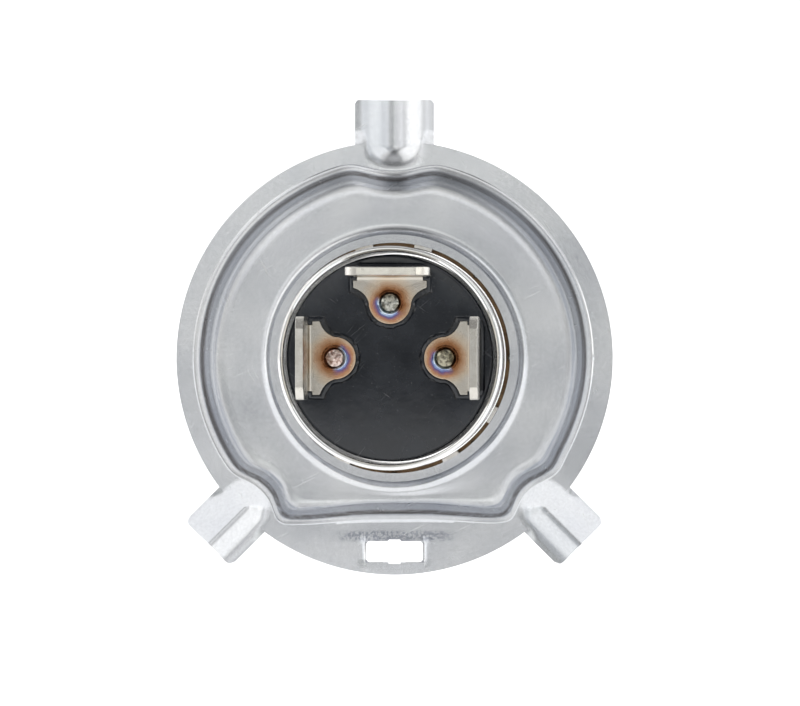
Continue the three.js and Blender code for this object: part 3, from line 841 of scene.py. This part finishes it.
def buildLead(name, clock, foilX, material):
    eyeX, eyeZ = turned(terminal["bead"], clock)
    points = [(eyeX, -16.0, eyeZ), (eyeX, -10.5, eyeZ), (eyeX * 0.75 + foilX * 0.25, -6, eyeZ * 0.7),
              (foilX, -1.5, eyeZ * 0.1), (foilX, 3.1, 0)]
    return buildWire("lead" + name.title(), "lead_" + name, points, inside["lead"], material)


def buildSupports(material):
    paths = {
        "left": [(-4.7, 11.7, 0), (-4.7, 17, 0), (-4.3, 20, 0), (-2.9, 22.2, 0)],
        "right": [(4.7, 11.7, 0), (4.7, 18, 0.3), (4.9, 30, 0.6), (4.6, 36, 0.6), (3.4, 38, 0.5)],
        "centre": [(0, 11.7, 0), (0, 15, -0.4), (0, 19, -3.2), (0, 27, -4.1), (0, 34.3, -4.1)],
    }
    for side, points in paths.items():
        buildWire("support" + side.title(), "support_" + side, points, inside["wire"], material)


def buildFoil(name, foilX, material):
    width, rear, front, thick = inside["foil"]
    bm = bmesh.new()
    bmesh.ops.create_grid(bm, x_segments=8, y_segments=24, size=0.5)
    bmesh.ops.rotate(bm, verts=bm.verts, matrix=Matrix.Rotation(math.radians(90), 3, "X"))
    bmesh.ops.scale(bm, verts=bm.verts, vec=(width, 1, front - rear))
    for vert in bm.verts:
        ripple = 0.015 * math.sin(vert.co.z * 5)
        vert.co = (vert.co.x + foilX, vert.co.z + (rear + front) / 2, ripple)
    piece = finishPiece(bm, "foil" + name.title(), ["foil_" + name], material)
    addModifier(piece, "SOLIDIFY", thickness=thick * mm, offset=0.0)
    return piece


def buildFilament(name, node, place, legs, material):
    fromY, toY, z = place
    steps = inside["turns"] * 24
    bm = bmesh.new()
    place = Matrix.Translation((inside["coil"], fromY, z))
    ring = bmesh.ops.create_circle(bm, segments=8, radius=inside["coilWire"], matrix=place)["verts"]
    edges = linkedEdges(ring)
    rise = (toY - fromY) / steps
    bmesh.ops.spin(bm, geom=ring + edges, cent=(0, 0, z), axis=(0, -1, 0), dvec=(0, rise, 0),
                   angle=math.tau * inside["turns"], steps=steps)
    for end, leg in zip((fromY, toY), legs):
        start = Vector((inside["coil"], end, z))
        addWire(bm, [start, start + Vector(leg) * 0.5, start + Vector(leg)], inside["coilWire"], 8)
    bmesh.ops.holes_fill(bm, edges=[edge for edge in bm.edges if edge.is_boundary])
    return finishPiece(bm, name, [node], material, 60)


def buildShield(material):
    d = shield
    bm = bmesh.new()
    bmesh.ops.create_uvsphere(bm, u_segments=64, v_segments=40, radius=1)
    bmesh.ops.rotate(bm, verts=bm.verts, matrix=Matrix.Rotation(math.radians(90), 3, "X"))
    bmesh.ops.scale(bm, verts=bm.verts, vec=(d["halfWidth"], d["halfLength"], d["depth"]))
    slant = math.radians(d["slant"])
    for normal in ((0, 0, 1), (math.sin(slant), 0, math.cos(slant))):
        cutPlane(bm, (0, 0, 0), normal, clear_outer=True)
    bmesh.ops.translate(bm, verts=bm.verts, vec=(0, d["middle"], 0))
    piece = finishPiece(bm, "lowBeamShield", ["low_beam_shield"], material)
    addModifier(piece, "SOLIDIFY", thickness=d["wall"] * mm, offset=-1.0, use_even_offset=True)
    roundEdges(piece, 0.08, 2, 40)
    return piece


# ---------- glass envelope and its black tip

glass = {"radius": 8.1, "wall": 1.1, "top": 56.0, "dome": 7.2, "tube": 16.5, "pinch": (14.6, 4.2, 1.6, 12.0),
         "squareness": 5.0, "nub": 1.4, "nubHeight": 1.55, "sides": 96}
coating = {"gap": 0.1, "wall": 0.2, "rear": 43.5, "hole": 1.7}


# a ring that goes from the pinch's rounded box to the tube's circle as share goes from 0 to 1
def superRing(halfX, halfZ, share, radius, sides):
    points = []
    power = glass["squareness"]
    for i in range(sides):
        angle = math.tau * i / sides
        across, up = math.cos(angle), math.sin(angle)
        reach = (abs(across / halfX) ** power + abs(up / halfZ) ** power) ** (-1 / power)
        points.append((mix(reach * across, radius * across, share), mix(reach * up, radius * up, share)))
    return points


def buildGlass(material):
    d = glass
    bm = bmesh.new()
    halfX, halfZ = d["pinch"][0] / 2, d["pinch"][1] / 2
    rear, flatTo = d["pinch"][2], d["pinch"][3]
    levels = [(rear, 0, 0.9), (rear + 0.15, 0, 0.965), (rear + 0.5, 0, 1.0)]
    levels += [(mix(rear + 0.5, flatTo, i / 8), 0, 1.0) for i in range(1, 9)]
    levels += [(mix(flatTo, d["tube"] + 0.6, i / 12), smoothStep(i / 12, 0, 1), 1.0) for i in range(1, 13)]
    rings = []
    for y, share, shrink in levels:
        points = superRing(halfX * shrink, halfZ * shrink, share, d["radius"], d["sides"])
        rings.append(closedLoop(bm, [(x, y, z) for x, z in points]))
    for (_, low), (_, high) in zip(rings, rings[1:]):
        bmesh.ops.bridge_loops(bm, edges=low + high)
    bmesh.ops.edgeloop_fill(bm, edges=rings[0][1])
    profile = [(d["radius"], mix(d["tube"] + 0.6, d["top"] - d["dome"], i / 10)) for i in range(11)]
    top, nub = d["top"], d["nub"]
    profile += [(d["radius"] * math.cos(math.radians(a)),
                 top - d["dome"] + d["dome"] * math.sin(math.radians(a))) for a in range(5, 80, 5)]
    profile += [(nub, top - 0.02), (nub * 0.86, top + 0.4), (nub * 0.6, top + 1.0),
                (nub * 0.3, top + 1.42), (0, top + d["nubHeight"])]
    spinProfile(bm, profile, d["sides"])
    bore = d["radius"] - d["wall"]
    innerTop = d["top"] - d["wall"]
    innerDome = d["dome"] - 0.6
    cavity = [(0, 15.4), (bore * 0.45, 15.5), (bore * 0.75, 15.9), (bore * 0.93, 16.7), (bore, 17.9)]
    cavity += [(bore, mix(17.9, innerTop - innerDome, i / 8)) for i in range(1, 9)]
    cavity += [(bore * math.cos(math.radians(a)),
                innerTop - innerDome + innerDome * math.sin(math.radians(a))) for a in range(6, 90, 6)]
    cavity.append((0, innerTop))
    bmesh.ops.remove_doubles(bm, verts=bm.verts, dist=0.002)
    bmesh.ops.recalc_face_normals(bm, faces=bm.faces)
    outside = set(bm.faces)
    spinProfile(bm, cavity, d["sides"])
    bmesh.ops.remove_doubles(bm, verts=bm.verts, dist=0.002)
    inner = [face for face in bm.faces if face not in outside]
    bmesh.ops.recalc_face_normals(bm, faces=inner)
    bmesh.ops.reverse_faces(bm, faces=inner)
    bmesh.ops.scale(bm, verts=bm.verts, vec=(mm, mm, mm))
    return makeObject(bm, "glassEnvelope", ["glass_envelope"], material, 50)


def buildCoating(material):
    d = coating
    bm = bmesh.new()
    inner = glass["radius"] + d["gap"]
    outer = inner + d["wall"]
    top = glass["top"] + d["gap"]

    def dome(radius, topY, height, fromAngle, toAngle):
        return [(radius * math.cos(math.radians(a)), topY - height + height * math.sin(math.radians(a)))
                for a in range(fromAngle, toAngle, 4 if toAngle > fromAngle else -4)]

    last = math.degrees(math.acos(d["hole"] / outer))
    profile = [(inner, d["rear"]), (outer, d["rear"])]
    profile += dome(outer, top + d["wall"], glass["dome"] + d["wall"], 0, int(last))
    profile += dome(inner, top, glass["dome"], int(last), -1)
    spinProfile(bm, profile, 128, isClosed=True)
    for vert in bm.verts:
        if vert.co.y < d["rear"] + 0.1:
            vert.co.y += 0.12 * (noise.noise((vert.co.x * 0.4, vert.co.z * 0.4, 2)) + 0.5)
    return finishPiece(bm, "tipCoating", ["tip_coating"], material, 60)


# ---------- finishes

# where the pressed step (painted shade on its wall, a painted dark line in its hollow), the lugs' roots and
# the smudge above the slot lie, in millimetres
flangeMarks = {"stepInner": 14.8, "stepOuter": 19.5, "lugRoot": 18.35, "lugHalf": 3.0,
               "wallRear": -1.82, "wallFront": -0.7, "hollowRear": 0.1, "hollowFront": 0.34,
               "smudgeHalf": 6.8, "smudgeLow": -18.2, "smudgeHigh": -16.8}


def flangeSteel():
    m = flangeMarks
    f = Finish("flangeSteel")
    grain = f.noise((2.2, 2.2, 2.2), 4, 0.6)
    fine = f.noise((4.0, 4.0, 4.0), 3, 0.7)
    cloud = f.noise((0.14, 0.14, 0.14), 3, 0.5)
    specks = f.noise((4.5, 4.5, 4.5), 2, 0.5).between(0.69, 0.75)
    scratches = scratchMask(f, 0.35, 0.9, 25) + scratchMask(f, 0.8, 0.5, -60)
    radius = (f.x * f.x + f.z * f.z).root()
    circling = f.val("ShaderNodeCombineXYZ", {}, {"X": f.x / radius * 1.6 + radius * 4.0,
                                                  "Y": f.z / radius * 1.6, "Z": f.y * 2.5})
    streaks = f.noiseAt(circling, 3.0, 0.6)
    onStep = (m["stepOuter"] - radius).between(0.0, 0.3)
    onStep = onStep * radius.between(m["stepInner"], m["stepInner"] + 0.3)
    for lug in lugs:
        turn = math.radians(lug["clock"])
        along = f.x * math.sin(turn) + f.z * math.cos(turn)
        across = (f.x * math.cos(turn) - f.z * math.sin(turn)).math("ABSOLUTE")
        root = (along - m["lugRoot"]).between(0.0, 0.2) * (m["lugHalf"] - across).between(0.0, 0.5)
        onStep = onStep * (1 - root)
    # painted shade: the steep step wall, away from the lugs' roots, is painted dark brown in streaks where
    # its reflection is dark
    wall = (f.y - m["wallRear"]).between(0.0, 0.25) * (m["wallFront"] - f.y).between(0.0, 0.5) * onStep
    # painted shade: a thin dark bluish line along the hollow where the step wall meets the dish
    hollow = (m["hollowFront"] - f.y).between(0.0, 0.08) * onStep
    hollow = hollow * (f.y - m["hollowRear"]).between(0.0, 0.1)
    smudge = ((m["smudgeHalf"] - f.x.math("ABSOLUTE")).between(0.0, 2.5)
              * (f.z - m["smudgeLow"]).between(0.0, 0.4)
              * (m["smudgeHigh"] - f.z).between(0.0, 0.4) * fine.between(0.38, 0.6))
    tone = f.ramp(cloud, [(0.35, (0.60, 0.615, 0.645)), (0.65, (0.66, 0.672, 0.69))])
    mottle = f.ramp(fine, [(0.3, (0.92, 0.92, 0.925)), (0.7, (1.04, 1.04, 1.04))])
    tone = f.mix(1.0, tone, mottle, "MULTIPLY")
    # painted shade on the step wall
    tone = f.mix(wall * (streaks.between(0.3, 0.65) * 0.5 + 0.35), tone, (0.13, 0.11, 0.10))
    # painted shade line in the hollow
    tone = f.mix(hollow * streaks.between(0.35, 0.6) * 0.4, tone, (0.22, 0.25, 0.32))
    tone = f.mix(smudge * 0.7, tone, (0.2, 0.22, 0.27))
    worn = f.mix(specks * 0.4, tone, (0.88, 0.89, 0.9))
    marked = f.mix(scratches * 0.3, worn, (0.42, 0.41, 0.40))
    roughness = 0.24 + (grain - 0.5) * 0.1 + (cloud - 0.5) * 0.1 + scratches * 0.1
    height = grain * 0.35 + streaks * 0.4 - scratches * 0.5 + specks * 0.3
    return f.set(Base_Color=marked, Metallic=1.0, Roughness=roughness, Normal=f.bump(height, 0.006, 0.5))


# thin straight marks: a stretched noise, kept only where it peaks, and only in patches
def scratchMask(f, density, width, degrees):
    turn = math.radians(degrees)
    along = f.x * math.cos(turn) + f.z * math.sin(turn)
    across = f.z * math.cos(turn) - f.x * math.sin(turn)
    place = f.val("ShaderNodeCombineXYZ", {},
                  {"X": along * (0.25 * density), "Y": across * (7.0 * width), "Z": f.y * 0.6})
    lines = f.noiseAt(place, 2.0, 0.5)
    patches = f.noise((0.5, 0.5, 0.5), 2, 0.5)
    return lines.between(0.69, 0.74) * patches.between(0.5, 0.62)


def chromeSteel(name, colour, rough):
    f = Finish(name)
    smudge = f.noise((0.35, 0.2, 0.35), 4, 0.6)
    drawn = f.noise((2.5, 0.12, 2.5), 3, 0.6)
    fine = f.noise((9, 9, 9), 2, 0.5)
    tone = f.mix(smudge.between(0.4, 0.7) * 0.5, colour, tuple(c * 0.84 for c in colour))
    roughness = rough + (smudge - 0.5) * 0.12 + drawn.between(0.55, 0.75) * 0.06
    return f.set(Base_Color=tone, Metallic=1.0, Roughness=roughness,
                 Normal=f.bump(drawn * 0.5 + fine * 0.3, 0.008, 0.5))


# steel browned by the welding heat, painted near-black brown inside the gap between shell and collar as
# painted shade; brighter out on the tabs
def brownedAndShadedSteel():
    f = Finish("brownedAndShadedSteel")
    stain = f.noise((0.45, 0.3, 0.45), 4, 0.6)
    burntAndShade = f.ramp(stain, [(0.35, (0.10, 0.065, 0.04)), (0.65, (0.20, 0.13, 0.075))])
    bare = f.ramp(stain, [(0.35, (0.50, 0.46, 0.40)), (0.6, (0.68, 0.67, 0.66))])
    # painted shade: dark brown wherever the ring lies inside the gap, the bare colour only on the tab ends
    # reaching rearwards past the lip
    tone = f.mix((f.y + 3.4).between(0.0, 0.7), bare, burntAndShade)
    return f.set(Base_Color=tone, Metallic=1.0, Roughness=0.24 + (stain - 0.5) * 0.2,
                 Normal=f.bump(stain, 0.03, 0.5))


def blackResin():
    f = Finish("blackResin")
    cloud = f.noise((0.3, 0.3, 0.3), 3, 0.5)
    dust = f.noise((6, 6, 6), 2, 0.5).between(0.7, 0.76)
    scratches = scratchMask(f, 0.5, 1.4, 40) + scratchMask(f, 0.5, 1.2, 52) + scratchMask(f, 0.7, 1.0, -35)
    tone = f.ramp(cloud, [(0.35, (0.007, 0.009, 0.013)), (0.7, (0.013, 0.016, 0.022))])
    dusty = f.mix(dust * 0.35, tone, (0.16, 0.16, 0.16))
    marked = f.mix(scratches * 0.16, dusty, (0.3, 0.3, 0.31))
    roughness = 0.16 + (cloud - 0.5) * 0.14 + scratches * 0.2 + dust * 0.2
    ripple = f.noise((0.8, 0.8, 0.8), 2, 0.5)
    return f.set(Base_Color=marked, Roughness=roughness, Normal=f.bump(ripple + dust * 0.2, 0.03, 0.4))


# nickel plate with the heat colours of welding: brown on the hot side of the bead, blue opposite
def terminalNickel(name, clock, hotClock):
    f = Finish("terminalNickel" + name.title())
    beadX, beadZ = turned(terminal["bead"], clock)
    wobble = (f.noise((0.9, 0.9, 0.9), 3, 0.55) - 0.5) * 0.8
    dx, dz = f.x - beadX, f.z - beadZ
    distance = (dx * dx + dz * dz).root()
    hotX, hotZ = turned(1.0, hotClock)
    facing = (dx * hotX + dz * hotZ) / distance.atLeast(0.05)
    heat = (distance + wobble) * 0.25
    hot = f.ramp(heat, [(0.20, (0.045, 0.022, 0.012)), (0.27, (0.13, 0.05, 0.02)), (0.35, (0.32, 0.15, 0.07)),
                        (0.45, (0.47, 0.31, 0.20)), (0.56, (0.55, 0.46, 0.36)), (0.75, (0.52, 0.49, 0.44))])
    cool = f.ramp(heat, [(0.22, (0.25, 0.36, 0.42)), (0.26, (0.62, 0.70, 0.78)), (0.30, (0.24, 0.32, 0.52)),
                         (0.335, (0.13, 0.12, 0.30)), (0.37, (0.30, 0.15, 0.20)), (0.43, (0.52, 0.27, 0.14)),
                         (0.50, (0.58, 0.44, 0.32)), (0.60, (0.60, 0.55, 0.47)), (0.75, (0.52, 0.49, 0.44))])
    foot = (f.y + 18.4).between(0.0, 1.2)
    plain = f.ramp(f.noise((0.5, 0.5, 0.5), 4, 0.6), [(0.3, (0.50, 0.48, 0.43)), (0.7, (0.64, 0.62, 0.58))])
    tone = f.mix(foot, plain, f.mix((facing + wobble * 0.6).between(-0.6, 0.0), cool, hot))
    stains = f.noise((2.2, 2.2, 2.2), 4, 0.65).between(0.58, 0.75)
    stained = f.mix(stains * 0.3, tone, (0.24, 0.22, 0.18))
    drawn = f.noise((7, 0.6, 7), 3, 0.6)
    roughness = 0.24 + stains * 0.14 + (drawn - 0.5) * 0.08
    return f.set(Base_Color=stained, Metallic=1.0, Roughness=roughness,
                 Normal=f.bump(drawn * 0.5 + stains * 0.5, 0.008, 0.5))


def weldMetal(name, colour, dark):
    f = Finish("weldMetal" + name.title())
    ripple = f.noise((2.4, 2.4, 2.4), 4, 0.65)
    tone = f.mix(ripple.between(0.4, 0.62), colour, dark)
    return f.set(Base_Color=tone, Metallic=1.0, Roughness=0.16 + ripple * 0.14,
                 Normal=f.bump(ripple, 0.03, 0.7))


def wireMetal(name, colour, rough):
    f = Finish(name)
    drawn = f.noise((6, 0.8, 6), 3, 0.6)
    stain = f.noise((0.5, 0.35, 0.5), 3, 0.5)
    tone = f.mix(stain.between(0.4, 0.65) * 0.6, colour, tuple(c * 0.6 for c in colour))
    return f.set(Base_Color=tone, Metallic=1.0, Roughness=rough + drawn * 0.12,
                 Normal=f.bump(drawn, 0.01, 0.5))


def clearGlass():
    f = Finish("clearGlass")
    wave = f.noise((0.12, 0.05, 0.12), 2, 0.5)
    smear = f.noise((0.6, 0.4, 0.6), 3, 0.5).between(0.5, 0.75)
    return f.set(Base_Color=(0.88, 0.93, 0.94), Roughness=smear * 0.03, Transmission_Weight=1.0, IOR=1.46,
                 Normal=f.bump(wave, 0.05, 0.3))


def blackCoating():
    f = Finish("blackCoating")
    speck = f.noise((2.2, 2.2, 2.2), 4, 0.65)
    thin = f.noise((0.3, 0.3, 0.3), 2, 0.5)
    tone = f.ramp(thin, [(0.3, (0.012, 0.012, 0.013)), (0.7, (0.024, 0.023, 0.022))])
    return f.set(Base_Color=tone, Roughness=0.46 + (speck - 0.5) * 0.2, Normal=f.bump(speck, 0.02, 0.6))


# ---------- camera

view = {"distance": 0.8, "turn": 1.7, "lens": 365, "aim": (0.00049, 0.0, 0.00049)}


def placeCamera():
    data = bpy.data.cameras.new("camera")
    camera = bpy.data.objects.new("camera", data)
    bpy.context.scene.collection.objects.link(camera)
    turn = math.radians(view["turn"])
    aim = Vector(view["aim"])
    camera.location = aim + Vector((math.sin(turn), -math.cos(turn), 0)) * view["distance"]
    camera.rotation_euler = (aim - camera.location).to_track_quat("-Z", "Y").to_euler()
    data.lens = view["lens"]
    data.sensor_width = 36
    data.clip_start = 0.01
    bpy.context.scene.camera = camera


placeCamera()
bpy.context.scene.view_settings.view_transform = "Standard"
print("camera placed")

steel = flangeSteel()
chrome = chromeSteel("shellChrome", (0.80, 0.80, 0.80), 0.12)
holder = chromeSteel("holderSteel", (0.62, 0.61, 0.60), 0.22)
leadMetal = wireMetal("leadWire", (0.5, 0.48, 0.45), 0.25)
molybdenum = wireMetal("molybdenum", (0.45, 0.45, 0.46), 0.32)
tungsten = wireMetal("tungsten", (0.32, 0.32, 0.34), 0.35)

buildFlange(steel)
buildRearShell(chrome)
buildAlignmentRing(brownedAndShadedSteel())
buildHolderSleeve(holder)
buildPinchClip(holder)
print("sheet metal made")

buildInsulator(blackResin())
hotClocks = {"top": 30, "right": 50, "left": 285}
beadColours = {"top": ((0.42, 0.42, 0.38), (0.10, 0.10, 0.09)),
               "right": ((0.36, 0.34, 0.26), (0.09, 0.08, 0.06)),
               "left": ((0.62, 0.52, 0.48), (0.26, 0.16, 0.13))}
for name, clock, foilX in terminalPlaces:
    buildTerminal(name, clock, terminalNickel(name, clock, hotClocks[name]))
    buildWeldBead(name, clock, weldMetal(name, *beadColours[name]))
    buildLead(name, clock, foilX, leadMetal)
    buildFoil(name, foilX, molybdenum)
print("terminals made")

buildSupports(leadMetal)
buildShield(molybdenum)
buildFilament("highBeamFilament", "high_beam_filament", inside["highBeam"],
              [(-2.7, -0.3, 0), (-0.5, 0, -3.4)], tungsten)
buildFilament("lowBeamFilament", "low_beam_filament", inside["lowBeam"],
              [(0.2, -0.9, 0.6), (2.0, 1.6, 0)], tungsten)
buildGlass(clearGlass())
buildCoating(blackCoating())
print("glass and filaments made")


# ---------- floor and lights

studio = {"floorZ": -0.045, "half": 1.5, "backY": 1.9, "curve": 0.5, "height": 1.6,
          "world": 0.12, "glow": (0.56, 0.92)}
softBoxes = (
    # name, clock angle, angle from the camera's side, distance, size, brightness, colour
    ("nearTop", 0, 11, 0.5, 0.12, 0.89, (1.0, 1.0, 0.94)),
    ("nearTopLeft", 315, 11, 0.5, 0.12, 0.47, (0.95, 0.98, 1.0)),
    ("nearTopRight", 45, 11, 0.5, 0.12, 0.22, (0.9, 0.97, 1.0)),
    ("innerLeft", 270, 27, 0.5, 0.24, 0.56, (1.0, 1.0, 1.0)),
    ("innerTopLeft", 315, 27, 0.5, 0.24, 0.54, (1.0, 0.98, 0.95)),
    ("innerTop", 0, 27, 0.5, 0.24, 0.43, (1.0, 1.0, 0.97)),
    ("innerRight", 90, 27, 0.5, 0.24, 0.42, (1.0, 1.0, 0.97)),
    ("right", 90, 46, 0.5, 0.32, 0.54, (0.92, 0.96, 1.0)),
    ("topRight", 45, 46, 0.5, 0.32, 0.45, (0.94, 0.98, 1.0)),
    ("left", 270, 46, 0.5, 0.32, 0.38, (1.0, 1.0, 1.0)),
    ("topLeft", 315, 46, 0.5, 0.32, 0.24, (1.0, 1.0, 1.0)),
    ("top", 0, 46, 0.5, 0.32, 0.09, (1.0, 1.0, 1.0)),
    ("farTopLeft", 315, 70, 0.5, 0.4, 1.30, (1.0, 0.99, 0.96)),
    ("farLeft", 270, 70, 0.5, 0.4, 1.15, (1.0, 0.99, 0.96)),
    ("farTopRight", 45, 70, 0.5, 0.4, 0.89, (1.0, 0.99, 0.97)),
    ("farRight", 90, 70, 0.5, 0.4, 0.62, (1.0, 1.0, 0.96)),
    ("farTop", 0, 84, 0.5, 0.3, 0.60, (1.0, 1.0, 1.0)),
    ("aboveGlass", 0, 125, 0.5, 0.4, 0.3, (1.0, 1.0, 1.0)),
    ("sideRight", 90, 95, 0.5, 0.4, 1.20, (1.0, 0.98, 0.93)),
    ("behindLeft", 300, 125, 0.5, 0.5, 0.6, (1.0, 1.0, 1.0)),
    ("behindRight", 60, 125, 0.5, 0.5, 0.6, (1.0, 1.0, 1.0)),
)


def buildFloor():
    d = studio
    bm = bmesh.new()
    profile = [(-d["half"], d["floorZ"]), (d["backY"] - d["curve"], d["floorZ"])]
    profile += [(d["backY"] - d["curve"] + d["curve"] * math.sin(math.radians(a)),
                 d["floorZ"] + d["curve"] * (1 - math.cos(math.radians(a)))) for a in range(6, 91, 6)]
    profile += [(d["backY"], d["height"])]
    line = addLine(bm, [(-d["half"] * 1.5, y, z) for y, z in profile])
    made = bmesh.ops.extrude_edge_only(bm, edges=linkedEdges(line))["geom"]
    bmesh.ops.translate(bm, verts=onlyVerts(made), vec=(d["half"] * 3, 0, 0))
    mesh = bpy.data.meshes.new("floor")
    bm.to_mesh(mesh)
    bm.free()
    mesh.shade_smooth()
    floor = bpy.data.objects.new("floor", mesh)
    bpy.context.scene.collection.objects.link(floor)
    f = Finish("palePaper")
    fibre = f.noise((0.4, 0.4, 0.4), 3, 0.6)
    tone = f.ramp(fibre, [(0.3, (0.93, 0.93, 0.93)), (0.7, (0.96, 0.96, 0.96))])
    near, far = studio["glow"]
    glow = f.mix(f.y.between(50, 900), (near, near, near), (far, far, far))
    paper = f.set(Base_Color=tone, Roughness=0.85, Emission_Color=glow, Emission_Strength=1.0)
    mesh.materials.append(paper)


def placeLights():
    target = Vector((0, 0, 0))
    for name, clock, away, distance, size, brightness, colour in softBoxes:
        data = bpy.data.lights.new(name, "AREA")
        data.size = size
        data.energy = brightness * math.pi * size * size
        data.color = colour
        light = bpy.data.objects.new(name, data)
        bpy.context.scene.collection.objects.link(light)
        x, z = turned(math.sin(math.radians(away)), clock)
        light.location = Vector((x, -math.cos(math.radians(away)), z)) * distance
        light.rotation_euler = (target - light.location).to_track_quat("-Z", "Y").to_euler()
    world = bpy.data.worlds.new("studio")
    bpy.context.scene.world = world
    world.use_nodes = True
    world.node_tree.nodes["Background"].inputs["Color"].default_value = (1, 1, 1, 1)
    world.node_tree.nodes["Background"].inputs["Strength"].default_value = studio["world"]


buildFloor()
placeLights()
print("floor and lights placed")
